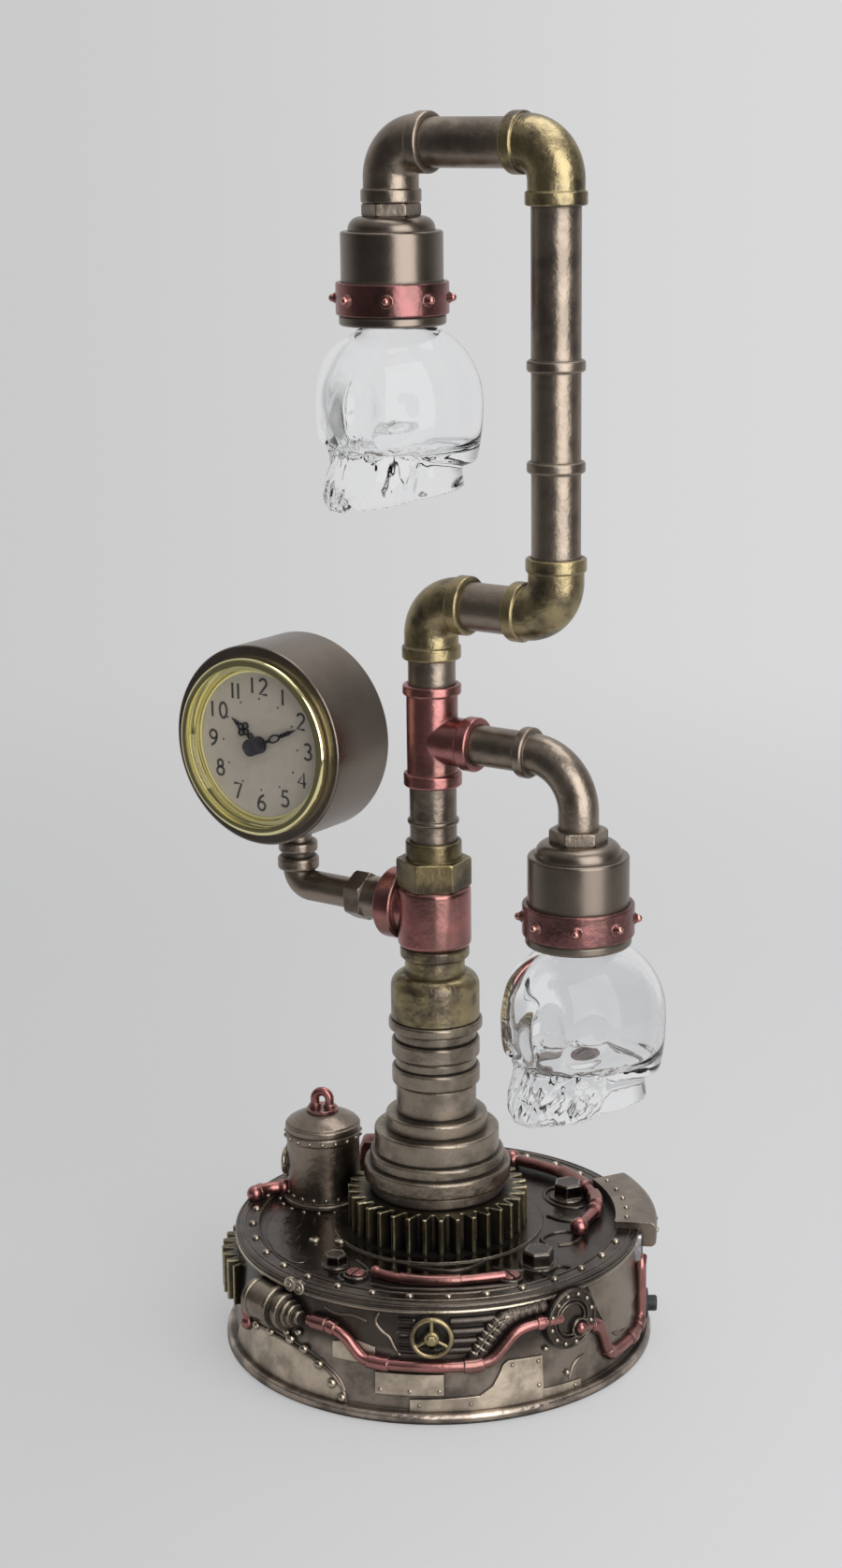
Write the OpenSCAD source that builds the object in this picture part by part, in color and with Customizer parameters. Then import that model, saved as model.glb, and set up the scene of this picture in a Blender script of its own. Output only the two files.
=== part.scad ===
// Pipe desk lamp with two skull-shaped glasses and a round clock on a gear-work base.
// Millimetres, +Z up. The origin is the centre of the base where it meets the table.
// The pipes lie in the XZ plane. The clock and the glasses face -Y.

/* [Base] */
// Diameter of the foot flange
base_d = 150; // [140:1:170]
// Height of the foot flange
flange_h = 3.9; // [3:0.1:6]
// Diameter of the drum wall just above the flange
wall_foot_d = 143.6; // [141:0.2:148]
// Diameter of the drum wall under the rim
wall_top_d = 139.4; // [137:0.2:141]
// Height of the base to the top of its rim
base_h = 42; // [38:0.5:50]
// Diameter of the rim
rim_d = 141; // [140:0.2:144]
// Height of the rim band
rim_h = 3.6; // [2.5:0.1:5]
// Width of the rivet band on top of the rim
rim_w = 8; // [6:0.5:11]
// Depth of the deck below the rim
deck_drop = 1.2; // [0.6:0.1:2.5]
// Diameter of the round boss under the big gear
boss_d = 74; // [68:1:80]
// Height of that boss above the deck
boss_h = 0.7; // [0.4:0.1:1.5]
// Thickness of the deck
deck_t = 4; // [3:0.5:6]
// Thickness of the drum wall at the rim
shell_t = 4; // [3:0.1:4.5]

/* [Column] */
// Tip diameter of the big gear
gear_d = 62.8; // [56:0.2:66]
// Height of the big gear
gear_h = 13; // [9:0.5:16]
// Number of teeth of the big gear
gear_teeth = 34; // [24:1:40]
// Depth of a gear tooth
tooth_depth = 4.6; // [3:0.1:6]
// Diameter of the dark ring on the gear
under_ring_d = 47; // [42:0.5:49]
// Height of the dark ring
under_ring_h = 4.4; // [3:0.1:6]
// Diameter of the lowest step of the column
lower_step_d = 51.2; // [49.2:0.2:56]
// Height of the lowest step
lower_step_h = 6; // [4:0.1:9]
// Diameter of the ridge above it
ridge_d = 46.8; // [44.5:0.2:48]
// Height of the ridge
ridge_h = 4.1; // [3:0.1:6]
// Diameter of the middle step
middle_step_d = 43.4; // [38:0.2:44]
// Height of the middle step
middle_step_h = 8.5; // [6:0.1:12]
// Diameter of the upper step
upper_step_d = 35.2; // [31:0.2:37]
// Height of the upper step
upper_step_h = 5.5; // [4:0.1:9]
// Diameter of the round stem of the column
stem_d = 27.8; // [25:0.2:29]
// Height of the stem
stem_h = 11; // [6:0.5:20]
// Diameter of the two bands on the column
band_d = 30.5; // [29.4:0.1:32]
// Height of each band
band_h = 6; // [4:0.5:8]
// Diameter of the grooves between the bands
groove_d = 28; // [26:0.2:29]
// Height of the grooves
groove_h = 3.8; // [2.5:0.1:6]
// Diameter of the bead under the bell
bead_d = 32.4; // [31:0.2:34]
// Height of that bead
bead_h = 3.6; // [2.5:0.1:5]
// Diameter of the brass bell
bell_d = 30.6; // [28:0.2:31.6]
// Height of the bell to its neck
bell_h = 16.4; // [13:0.2:20]
// Radius of the bell's shoulder
bell_shoulder = 5; // [3:0.5:6]
// Diameter of the bell's neck
bell_neck_d = 20.6; // [18:0.2:23]
// Height of the neck
bell_neck_h = 5.3; // [4:0.1:7]
// Diameter of the collar on the neck
bell_collar_d = 23.8; // [21:0.2:25]
// Height of that collar
bell_collar_h = 4.4; // [3:0.2:6]

/* [Pipe fittings] */
// Diameter of the copper tee at the foot of the post
foot_tee_d = 25.2; // [24:0.2:27]
// Height of that tee
foot_tee_h = 20.9; // [19:0.1:23]
// Height of its side branch above its lower end
foot_tee_branch_z = 12.4; // [12.4:0.1:13]
// Diameter of the flange on its side branch
foot_tee_flange_d = 24.6; // [22:0.2:24.6]
// Thickness of that flange
foot_tee_flange_l = 7; // [5:0.1:8]
// Reach of that flange from the post's axis
foot_tee_reach = 17.8; // [16.6:0.2:20]
// Turn of the upright nuts on their axes
nut_turn = 35; // [0:1:59]
// Width of the brass nut above the tee, over its corners
tee_nut_d = 25.8; // [24:0.2:28]
// Height of the brass nut
tee_nut_h = 9.8; // [8:0.1:14]
// Diameter of the nut's round collar
tee_nut_collar_d = 19.2; // [18.4:0.1:21]
// Height of the nut's round collar
tee_nut_collar_h = 6.4; // [5:0.2:9]
// Diameter of the main pipes
pipe_d = 16; // [15:0.1:16.4]
// Diameter of the pipes' bore
pipe_bore_d = 11.6; // [9:0.2:12]
// Diameter of the elbows' bodies
elbow_d = 18.2; // [17.8:0.1:18.6]
// Diameter of the collars on elbows and tees
collar_d = 19.8; // [19.2:0.1:21]
// Length of those collars
collar_l = 4.6; // [4:0.1:6]
// Depth that a pipe enters a fitting
socket_l = 5; // [4:0.2:6]
// Centre-line radius of an elbow's bend
bend_r = 11.2; // [10:0.1:11.6]
// Reach of an elbow's upright port from its corner
elbow_rise = 19.1; // [17:0.1:22]
// Reach of an elbow's level port from its corner
elbow_reach = 15.9; // [15:0.1:18]

/* [Post and loop] */
// Gap of bare pipe between the nut's collar and the upper tee
post_gap = 19.2; // [14:0.2:30]
// Diameter of the thin beads on the pipes
pipe_bead_d = 18.8; // [17.4:0.1:20]
// Height of the thin beads
pipe_bead_h = 3.8; // [2:0.1:5]
// Height of the upper copper tee
tee_h = 35; // [34:0.5:44]
// Height of its branch above its lower end
tee_branch_z = 16; // [15:0.5:17]
// Reach of its branch from the post's axis
tee_reach = 18.7; // [17:0.1:24]
// Gap of bare pipe between the tee and the elbow above it
stub_gap = 8.6; // [6:0.2:14]
// Distance of the riser from the post
loop_x = 49.1; // [47:0.1:60]
// Height of the loop between its two level pipes
loop_rise = 148.7; // [142:0.1:170]
// Height of the lower bead above the lower level pipe
riser_bead_1 = 48.2; // [40:0.2:55]
// Height of the upper bead above the lower level pipe
riser_bead_2 = 80.2; // [70:0.2:95]

/* [Lamps] */
// Offset of the upper lamp from the post
upper_lamp_x = -14; // [-17:0.1:-10]
// Distance of the lower lamp from the post
lower_lamp_x = 57.8; // [56:0.1:66]
// Diameter of the lower lamp's arm
arm_d = 13.6; // [12.6:0.1:14.4]
// Diameter of the bore of that arm
arm_bore_d = 9.6; // [8:0.1:10]
// Radius of the bend of that arm
arm_bend_r = 17.6; // [15:0.1:18]
// Straight drop of the arm below its bend
arm_drop = 5.4; // [3:0.1:20]
// Diameter of the collar where the arm's bend starts
arm_collar_d = 17; // [16.4:0.1:18.5]
// Length of that collar
arm_collar_l = 3.8; // [3.4:0.1:5]
// Width of the lamp nuts over their corners
lamp_nut_d = 19.6; // [19:0.1:21]
// Height of the lamp nuts
lamp_nut_h = 4.2; // [3.5:0.1:6]
// Diameter of the lamp holders
can_d = 33.6; // [32:0.1:35]
// Height of the holder's round shoulder
shoulder_h = 4.6; // [3.5:0.1:6]
// Height of the plain part of the holder
can_h = 16.2; // [13:0.1:22]
// Diameter of the copper band
ring_d = 37.2; // [36.4:0.1:40]
// Height of the copper band
ring_h = 10.6; // [9:0.1:13]
// Height of the lip under the band
lip_h = 3.4; // [2.5:0.1:5]
// Number of studs on each band
stud_count = 8; // [4:1:12]
// Diameter of a stud
stud_d = 4.2; // [3:0.1:5]
// Height of a stud
stud_h = 1.9; // [1.2:0.1:2.5]
// Wall of the holder
can_wall = 2; // [1.4:0.1:2.6]
// Diameter of the light-emitting board in each holder
led_d = 24; // [18:0.5:26]

/* [Glass] */
// Width of a glass
skull_w = 45; // [42:0.5:48]
// Depth of a glass from face to back
skull_depth = 57; // [54:0.5:60]
// Height of a glass below its holder
skull_h = 59.5; // [57:0.5:62]
// Set-back of the head behind the holder's axis
skull_back = 2; // [1:0.2:4]
// Height of the head's centre below the holder
skull_drop = 26; // [25:0.5:28]
// Turn of the faces from straight ahead, towards the clock
face_turn = -33; // [-60:1:0]
// Diameter of the glass neck
neck_d = 19.6; // [18:0.2:21]
// Length of the neck inside the holder
neck_l = 9; // [7:0.5:11]
// Wall of the glass
glass_t = 2; // [1.6:0.1:2.6]
// Depth of the hollow below the head's centre
hollow_drop = 15; // [12:0.5:20]

/* [Clock] */
// Distance of the clock's upright from the post
clock_x = 58.2; // [56:0.1:64]
// Diameter of the clock case
case_d = 69.8; // [69:0.2:74]
// Depth of the clock case
case_depth = 29.5; // [28:0.5:34]
// Reach of the case in front of its upright
case_front = 22.1; // [21:0.1:24]
// Wall of the case
case_wall = 3.2; // [2.5:0.1:3.6]
// Diameter of the bore that takes the clock insert
case_bore_d = 56.6; // [55:0.1:58]
// Diameter of the bezel
bezel_d = 62; // [61:0.1:65]
// Height of the bezel in front of the case
bezel_h = 3.6; // [3:0.1:5]
// Rise of the domed glass above its edge
lens_rise = 4.2; // [3.6:0.1:5]
// Thickness of the domed glass
lens_t = 1.2; // [1:0.1:1.6]
// Rounding of the bezel's front
bezel_round = 1.7; // [1.2:0.1:1.8]
// Depth of the dial behind the front of the case
dial_sink = 3; // [2:0.1:4]
// Thickness of the dial
dial_t = 0.4; // [0.3:0.1:0.8]
// Thickness of the rubber gasket
gasket_t = 1.2; // [0.8:0.1:1.6]
// Wall of the bezel's sleeve
sleeve_t = 0.8; // [0.6:0.1:1.2]
// Length of the bezel's sleeve behind the dial
sleeve_l = 7; // [6:0.1:9]
// Depth of the clock movement behind the dial
movement_depth = 13.4; // [12:0.2:14]
// Thickness of a hand
hand_t = 0.5; // [0.4:0.1:0.8]
// Length of the minute hand
minute_len = 18.5; // [15:0.1:20]
// Length of the hour hand
hour_len = 14; // [11:0.1:15]
// Angle of the minute hand past twelve
minute_angle = 66; // [0:1:359]
// Angle of the hour hand past twelve
hour_angle = 305.5; // [0:0.5:359]
// Diameter of the hub that holds the hands
hub_d = 6; // [5:0.1:7]

/* [Clock arm] */
// Diameter of the clock's arm
clock_arm_d = 10.8; // [10:0.1:11.4]
// Diameter of that arm's bore
clock_arm_bore_d = 7; // [5:0.1:7.6]
// Centre-line radius of its bend
clock_bend_r = 6; // [5.9:0.1:7]
// Width of the nut on the arm over its corners
arm_nut_d = 17.4; // [16:0.1:19]
// Length of the six-sided part of that nut
arm_nut_l = 6.5; // [5:0.1:9]
// Diameter of the round part of that nut
arm_nut_round_d = 15; // [14:0.1:15.6]
// Length of the round part of that nut
arm_nut_round_l = 8.8; // [7:0.1:12]
// Diameter of the collar at the foot of the upright
upright_collar_d = 14.6; // [14:0.1:16]
// Height of that collar
upright_collar_h = 4.8; // [4:0.1:6]
// Diameter of the nut below the case
upright_nut_d = 13.8; // [13:0.1:15]
// Height of the nut below the case
upright_nut_h = 4; // [3:0.1:5]
// Diameter of the upright
upright_d = 9.8; // [9:0.1:10.6]
// Height of the case's centre above the arm
clock_rise = 54.3; // [54:0.1:60]

/* [Switch] */
// Direction of the switch, turned from +X
switch_angle = 32; // [31:0.5:36]
// Height of the switch
switch_z = 10.6; // [10.2:0.1:12]
// Diameter of the switch's ring
switch_ring_d = 10.8; // [10:0.1:11.2]
// Thickness of that ring
switch_ring_t = 2.2; // [1.6:0.1:3]
// Diameter of the threaded bush through the wall
switch_bush_d = 8; // [7:0.1:8.4]
// Diameter of the push button
button_d = 5.6; // [4.6:0.1:6]
// Height of the button in front of its ring
button_h = 3.2; // [2.6:0.1:4]
// Travel of the button
button_travel = 2; // [1.5:0.1:2.4]
// Diameter of the switch body inside the base
switch_body_d = 11; // [10:0.1:12]
// Depth of the switch body inside the base
switch_body_l = 13; // [10:0.5:16]

/* [Wall fittings] */
// Diameter of the copper pipes on the base
copper_d = 4; // [3.2:0.1:4.4]
// Diameter of the sleeves on those pipes
sleeve_d = 5.2; // [4.8:0.1:6]
// Reach of the pipes' centre line from the wall under the rim
copper_lift = 2.4; // [2:0.1:3]
// Height of the upper run of the front pipe
pipe_high_z = 31; // [29:0.2:32]
// Height of the lower run of the front pipe
pipe_low_z = 20.6; // [18:0.2:21]
// Height of the lower run of the right-hand pipe
right_low_z = 9.6; // [8.6:0.1:11]
// Height of the end of the right-hand pipe
right_top_z = 30; // [24:0.5:33]
// Diameter of the riveted disc
disc_d = 21; // [18:0.2:22]
// Direction of the riveted disc
disc_angle = -17.8; // [-19:0.2:-16]
// Diameter of the handwheel
wheel_d = 14.6; // [12:0.2:15]
// Direction of the handwheel
wheel_angle = -57; // [-60:0.5:-54]
// Height of the handwheel
wheel_z = 31.2; // [30.5:0.1:32]
// Direction of the middle of the canister
canister_angle = -104; // [-107:0.5:-102]
// Diameter of the canister
canister_d = 13.6; // [12:0.2:14]
// Length of the canister
canister_l = 24; // [22:0.2:26]
// Tip diameter of the side gear
side_gear_d = 82; // [78:0.5:84]
// Distance of the side gear's axis from the base's axis
side_gear_x = 35.5; // [34:0.5:36.5]
// Direction of the side gear
side_gear_angle = -150; // [-153:0.5:-147]
// Height of the side gear's underside
side_gear_z = 17.5; // [15:0.5:19]
// Thickness of the side gear
side_gear_t = 14.5; // [12:0.5:16]
// Number of teeth on the whole of the side gear
side_gear_teeth = 42; // [36:1:50]
// First direction of the rounded cover on the rim
cover_start = 25; // [23:1:30]
// Sweep of the rounded cover on the rim
cover_sweep = 36; // [28:1:42]
// Reach of the rounded cover past the rim
cover_reach = 6.4; // [5:0.1:8]
// Height of the rounded cover above the rim
cover_rise = 2.8; // [2:0.1:4]
// Height of the rounded cover below the rim's top
cover_skirt = 6; // [5:0.1:8]
// Rounding of the cover's outer edges
cover_round = 2.2; // [1.5:0.1:3]

/* [Deck fittings] */
// Gap between the boiler's foot and the big gear
boiler_gap = 0.9; // [0.5:0.1:1.5]
// Direction of the boiler
boiler_angle = -175; // [-179:1:-168]
// Diameter of the boiler
boiler_d = 26; // [22:0.2:27]
// Height of the boiler's body
boiler_h = 26.5; // [20:0.5:32]
// Diameter of the boiler's foot
boiler_foot_d = 29.4; // [28:0.2:30]
// Height of the boiler's foot
boiler_foot_h = 2; // [1.5:0.1:3]
// Rise of the boiler's domed lid
lid_rise = 4.6; // [3:0.1:6]
// Height of the lid's plain edge
lid_edge = 2.6; // [2:0.1:4]
// Thickness of the copper loop on the lid
loop_wire_d = 3.2; // [2.6:0.1:3.6]
// Width of that loop between its legs
loop_span = 5.4; // [4.8:0.1:7]
// Height of that loop's legs
loop_leg = 4.6; // [3:0.1:6]
// Width across the flats of the deck bolts
bolt_af = 8; // [6:0.2:9]
// Height of a bolt's head
bolt_h = 3.4; // [2.5:0.1:4.5]
// Diameter of the balls on the deck pipe's ends
ball_d = 6.4; // [5.6:0.1:7]

/* [Inside] */
// Thickness of the felt pad
pad_t = 1.5; // [1.2:0.1:2.5]
// Height that the pad stands proud of the flange
pad_proud = 0.4; // [0.2:0.1:0.8]
// Thickness of the bottom plate
plate_t = 2; // [1.5:0.1:3]
// Distance of the plate's screws from the axis
screw_x = 56; // [54:0.5:58]
// Diameter of the plate's screws
screw_d = 3; // [2.5:0.1:3.5]
// Diameter of the screw heads
screw_head_d = 6; // [5.4:0.1:6.6]
// Length of the screws in their posts
screw_l = 9; // [6:0.5:12]
// Diameter of the screw posts
post_d = 8.4; // [7.6:0.1:10]
// Diameter of the threaded tube that holds the column together
rod_d = 10; // [9:0.1:11]
// Bore of the threaded tube
rod_bore_d = 6.6; // [5:0.1:7]
// Length of the threaded tube below the deck
rod_tail = 9; // [8:0.5:12]
// Width of the tube's nut over its corners
rod_nut_d = 19; // [17:0.2:22]
// Height of the tube's nut
rod_nut_h = 5; // [4:0.2:7]
// Diameter of a battery cell
cell_d = 14.2; // [13.8:0.1:14.5]
// Length of a battery cell
cell_l = 50; // [48:0.5:51]
// Number of battery cells side by side
cell_count = 3; // [2:1:3]
// Wall of the battery holder
holder_wall = 1.6; // [1.2:0.1:2.4]

/* [Fits] */
// Gap round pieces that are seated in each other
fit = 0.1; // [0.06:0.01:0.15]
// Gap round pieces that run in each other
run = 0.06; // [0.03:0.01:0.1]
// Gap left between moving pieces that pass each other
clear = 0.4; // [0.3:0.05:0.6]

/* [Hidden] */
$fn = 72;

// Colours of the finishes
bronze = [0.36, 0.31, 0.26];
dark_bronze = [0.24, 0.2, 0.18];
brass = [0.55, 0.46, 0.24];
copper = [0.55, 0.24, 0.2];
gold = [0.85, 0.74, 0.36];
clear_glass = [0.85, 0.92, 0.94, 0.35];
black = [0.06, 0.06, 0.07];

// Heights of the base
flange_top = pad_proud + flange_h;
plate_z = pad_t;
plate_top = plate_z + plate_t;
rim_z = base_h - rim_h;
deck_z = base_h - deck_drop;
boss_z = deck_z + boss_h;
cavity_top = deck_z - deck_t;
cavity_r = wall_top_d / 2 - shell_t;
plate_r = wall_foot_d / 2 - shell_t;

// Radius of the drum wall at a height
function wall_r(z) =
    let (t = (z - flange_top) / (rim_z - flange_top))
    (wall_foot_d + (wall_top_d - wall_foot_d) * t) / 2;

// Heights of the column, from the gear to the upper tee
gear_top = boss_z + gear_h;
column_turns = [
    [under_ring_d, under_ring_h], [lower_step_d, lower_step_h], [ridge_d, ridge_h],
    [middle_step_d, middle_step_h], [upper_step_d, upper_step_h], [stem_d, stem_h],
    [band_d, band_h], [groove_d, groove_h], [band_d, band_h], [groove_d, groove_h],
    [bead_d, bead_h]
];
function stacked(list, n) = n == 0 ? 0 : list[n - 1][1] + stacked(list, n - 1);
column_top = gear_top + stacked(column_turns, len(column_turns));
bell_top = column_top + bell_h + bell_neck_h + bell_collar_h;
foot_tee_top = bell_top + foot_tee_h;
clock_arm_z = bell_top + foot_tee_branch_z;
nut_top = foot_tee_top + tee_nut_h;
nut_collar_top = nut_top + tee_nut_collar_h;
tee_z = nut_collar_top + post_gap;
tee_top = tee_z + tee_h;
arm_z = tee_z + tee_branch_z;
low_z = tee_top + stub_gap + elbow_rise;
top_z = low_z + loop_rise;

// Heights of the two lamps
upper_nut_top = top_z - elbow_rise;
upper_holder_top = upper_nut_top - lamp_nut_h;
lower_nut_top = arm_z - arm_bend_r - arm_drop;
lower_holder_top = lower_nut_top - lamp_nut_h;
holder_h = shoulder_h + can_h + ring_h + lip_h;
upper_lip_z = upper_holder_top - holder_h;
lower_lip_z = lower_holder_top - holder_h;
neck_r = neck_d / 2;
band_seat_r = can_d / 2;
ring_z = lip_h;
can_inside_r = can_d / 2 - can_wall;
collar_inside_r = neck_r + fit;
led_z = neck_l + fit;
led_t = 1.6;
led_dome_r = 3;

// Places of the clock: its own axis points forward, along -Y
clock_z = clock_arm_z + clock_rise;
case_back = case_front - case_depth;
bore_r = case_bore_d / 2;
gasket_r = bore_r - fit;
insert_r = gasket_r - gasket_t;
movement_r = insert_r - sleeve_t;
dial_z = case_front - dial_sink;
lens_r = bore_r - fit;
lens_edge_z = case_front + bezel_h / 2;
lens_ball = (lens_r * lens_r + lens_rise * lens_rise) / (2 * lens_rise);
hour_z = dial_z + dial_t + clear;
minute_z = hour_z + hand_t + clear;
hub_top = lens_edge_z + lens_rise - lens_t - 2 * clear;
arbor_r = 1.2;
hour_tube_r = 2;
movement_z = dial_z - movement_depth;
knob_d = 9;
knob_h = 3;
knob_x = 9;
knob_pin_r = 1.5;

// Distance of the boiler from the base's axis
boiler_x = gear_d / 2 + boiler_gap + boiler_foot_d / 2;

// Height, seat and face of the riveted disc
disc_z = pipe_high_z - 0.6;
disc_seat = max(wall_r(disc_z - disc_d / 2), rim_d / 2) + fit;
disc_face = disc_seat + 2;

// Seat of the side gear in the wall, and half the angle of its toothed sector
gear_seat_r = wall_top_d / 2 - shell_t / 2;
gear_root_r = side_gear_d / 2 - tooth_depth;
gear_spread = acos(
    (pow(gear_seat_r + 1, 2) - pow(side_gear_x, 2) - pow(gear_root_r, 2)) / (2 * side_gear_x * gear_root_r)
);

// Places of the switch along its own outward axis
switch_seat = wall_r(switch_z - switch_ring_d / 2) + fit;
bush_end = switch_seat + switch_ring_t;
switch_inner = sqrt(cavity_r * cavity_r - switch_body_d * switch_body_d / 4) - fit;
button_inner = bush_end - 6;

// Box of the battery holder and its door
cell_pitch = cell_d + 1;
tray_w = cell_count * cell_pitch + 2 * holder_wall;
tray_l = cell_l + 2 + 2 * holder_wall;
tray_h = cell_d + 1 + holder_wall;
tray_y = -6 - tray_w;
door_w = tray_w - 2 * holder_wall;
door_l = tray_l - 2 * holder_wall;

// A turned ring's half profile, with its outer corners rounded
module ring_profile(r0, r1, z0, z1, e) {
    q = min(e, (r1 - r0) / 2, (z1 - z0) / 2);
    translate([r0, z0])
        square([r1 - r0 - q, z1 - z0]);
    translate([r0, z0 + q])
        square([r1 - r0, z1 - z0 - 2 * q]);
    for (z = [z0 + q, z1 - q])
        translate([r1 - q, z])
            circle(q);
}

// A turned ring with a round bore
module ring(bore, d, z0, z1, e = 0.5) {
    rotate_extrude()
        ring_profile(bore / 2, d / 2, z0, z1, e);
}

// A plain tube between two heights
module tube(d, bore, z0, z1) {
    rotate_extrude()
        translate([bore / 2, z0])
            square([(d - bore) / 2, z1 - z0]);
}

// A nut with six flats and a round bore, its corners turned down
module hex_nut(d, bore, z0, z1) {
    difference() {
        intersection() {
            translate([0, 0, z0])
                cylinder(d = d, h = z1 - z0, $fn = 6);
            ring(0, d - 0.2, z0, z1, 0.8);
        }
        translate([0, 0, z0 - 1])
            cylinder(d = bore, h = z1 - z0 + 2);
    }
}

// A solid head with six flats, its corners turned down
module hex_head(d, z0, z1) {
    intersection() {
        translate([0, 0, z0])
            cylinder(d = d, h = z1 - z0, $fn = 6);
        ring(0, d - 0.2, z0, z1, 0.8);
    }
}

// Turns a piece built along +Z to point along +X
module along_x() {
    rotate([0, 90, 0])
        children();
}

// Sets a piece built along +Z on the drum, pointing straight out
module from_wall(angle, z) {
    rotate([0, 0, angle])
        translate([0, 0, z])
            along_x()
                children();
}

// The outside of the base as one half profile, grown by a gap
module base_outline(gap) {
    polygon([
        [0, pad_proud], [plate_r, pad_proud], [wall_foot_d / 2 + gap, flange_top],
        [wall_top_d / 2 + gap, rim_z], [wall_top_d / 2 + gap, base_h - 0.1], [0, base_h - 0.1]
    ]);
    ring_profile(0, base_d / 2 + gap, pad_proud, flange_top + gap, 1.4);
    ring_profile(0, rim_d / 2 + gap, rim_z - gap, base_h + gap, 1.2);
}

// The solid of the base, and with a gap the solid that fittings on the wall are cut back by
module base_core(gap = 0) {
    rotate_extrude($fn = 240)
        base_outline(gap);
}

module base_shell() {
    color(dark_bronze)
        difference() {
            union() {
                difference() {
                    base_core();
                    translate([0, 0, deck_z])
                        cylinder(d = rim_d - 2 * rim_w, h = base_h);
                    translate([0, 0, plate_top])
                        cylinder(r = cavity_r, h = cavity_top - plate_top);
                    cylinder(r = plate_r, h = plate_top);
                }
                difference() {
                    translate([0, 0, deck_z])
                        cylinder(d = boss_d, h = boss_h);
                    at_boiler()
                        cylinder(d = boiler_foot_d + 2 * fit, h = boss_h + 1);
                }
                screw_places()
                    translate([0, 0, plate_top])
                        cylinder(d = post_d, h = cavity_top - plate_top);
            }
            cylinder(d = rod_d + 2 * fit, h = base_h + boss_h);
            screw_places()
                cylinder(d = screw_d + 2 * fit, h = plate_top + screw_l + 1);
            from_wall(switch_angle, switch_z)
                translate([0, 0, cavity_r - 8])
                    cylinder(d = switch_bush_d + 2 * fit, h = base_d);
            side_gear_slab(fit)
                intersection() {
                    circle(d = side_gear_d + 2 * fit);
                    gear_sector(gear_spread + 0.4);
                }
        }
}

// The four places of the plate's screws
module screw_places() {
    for (i = [0 : 3])
        rotate([0, 0, 45 + 90 * i])
            translate([screw_x, 0, 0])
                children();
}

// The opening under the battery cells
module door_shape(gap) {
    translate([-door_l / 2 - gap, tray_y + holder_wall - gap])
        square([door_l + 2 * gap, door_w + 2 * gap]);
}

module base_plate() {
    color("dimgray")
        translate([0, 0, plate_z])
            linear_extrude(plate_t)
                difference() {
                    circle(r = plate_r - fit);
                    door_shape(fit);
                    screw_places()
                        circle(d = screw_d + 2 * fit);
                }
}

module base_pad() {
    color("darkolivegreen")
        linear_extrude(pad_t)
            difference() {
                circle(r = plate_r - clear);
                door_shape(clear);
                screw_places()
                    circle(d = screw_head_d + 2 * clear);
            }
}

module battery_door() {
    color("dimgray")
        translate([0, 0, pad_proud])
            linear_extrude(plate_top - pad_proud)
                door_shape(0);
}

module plate_screws() {
    color("silver")
        screw_places()
            union() {
                translate([0, 0, pad_proud])
                    cylinder(d = screw_head_d, h = plate_z - pad_proud);
                translate([0, 0, pad_proud])
                    cylinder(d = screw_d, h = plate_top - pad_proud + screw_l);
            }
}

module battery_holder() {
    color(black)
        translate([0, 0, plate_top])
            linear_extrude(tray_h)
                difference() {
                    translate([-tray_l / 2, tray_y])
                        square([tray_l, tray_w]);
                    door_shape(0);
                }
    color(black)
        translate([-tray_l / 2, tray_y, plate_top + tray_h])
            cube([tray_l, tray_w, holder_wall]);
}

module battery_cells() {
    color("goldenrod")
        for (i = [0 : cell_count - 1])
            translate([-cell_l / 2, tray_y + holder_wall + cell_pitch * (i + 0.5), plate_top + cell_d / 2])
                along_x()
                    union() {
                        cylinder(d = cell_d, h = cell_l - 1);
                        cylinder(d = 5.2, h = cell_l);
                    }
}

module switch_body() {
    color(black)
        from_wall(switch_angle, switch_z)
            difference() {
                union() {
                    translate([0, 0, switch_inner - switch_body_l])
                        cylinder(d = switch_body_d, h = switch_body_l);
                    translate([0, 0, switch_inner - 1])
                        cylinder(d = switch_bush_d, h = bush_end - switch_inner + 1);
                }
                translate([0, 0, button_inner - button_travel - clear])
                    cylinder(d = button_d + 2 * run, h = 40);
            }
}

module switch_ring() {
    color(black)
        from_wall(switch_angle, switch_z)
            ring(switch_bush_d + 2 * fit, switch_ring_d, switch_seat, bush_end, 0.7);
}

module switch_button() {
    color(black)
        from_wall(switch_angle, switch_z)
            ring(0, button_d, button_inner, bush_end + button_h, 0.8);
}

module column_rod() {
    color("silver")
        tube(rod_d, rod_bore_d, cavity_top - rod_tail, nut_top - 1);
}

module rod_nut() {
    color("silver")
        hex_nut(rod_nut_d, rod_d + 2 * fit, cavity_top - rod_nut_h, cavity_top);
}

// A gear's outline with narrow tips and narrow roots
module gear_outline(d, depth, teeth) {
    r = d / 2;
    step = 360 / teeth;
    tip = 0.1 * step;
    polygon([
        for (i = [0 : teeth - 1])
            for (c = [[-tip, 0], [tip, 0], [step / 2 - tip, depth], [step / 2 + tip, depth]])
                (r - c[1]) * [cos(i * step + c[0]), sin(i * step + c[0])]
    ]);
}

module big_gear() {
    color(brass)
        translate([0, 0, boss_z])
            linear_extrude(gear_h)
                difference() {
                    gear_outline(gear_d, tooth_depth, gear_teeth);
                    circle(d = rod_d + 2 * fit);
                }
}

module column_steps() {
    color(bronze)
        for (i = [0 : len(column_turns) - 1])
            translate([0, 0, gear_top + stacked(column_turns, i)])
                ring(rod_d + 2 * fit, column_turns[i][0], 0, column_turns[i][1], 0.8);
}

module column_bell() {
    neck_z = column_top + bell_h;
    color(brass) {
        ring(rod_d + 2 * fit, bell_d, column_top, neck_z, bell_shoulder);
        ring(rod_d + 2 * fit, bell_d, column_top, neck_z - bell_shoulder, 0.6);
        tube(bell_neck_d, rod_d + 2 * fit, neck_z - 1, neck_z + bell_neck_h);
        ring(rod_d + 2 * fit, bell_collar_d, neck_z + bell_neck_h, bell_top, 1.2);
    }
}

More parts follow.
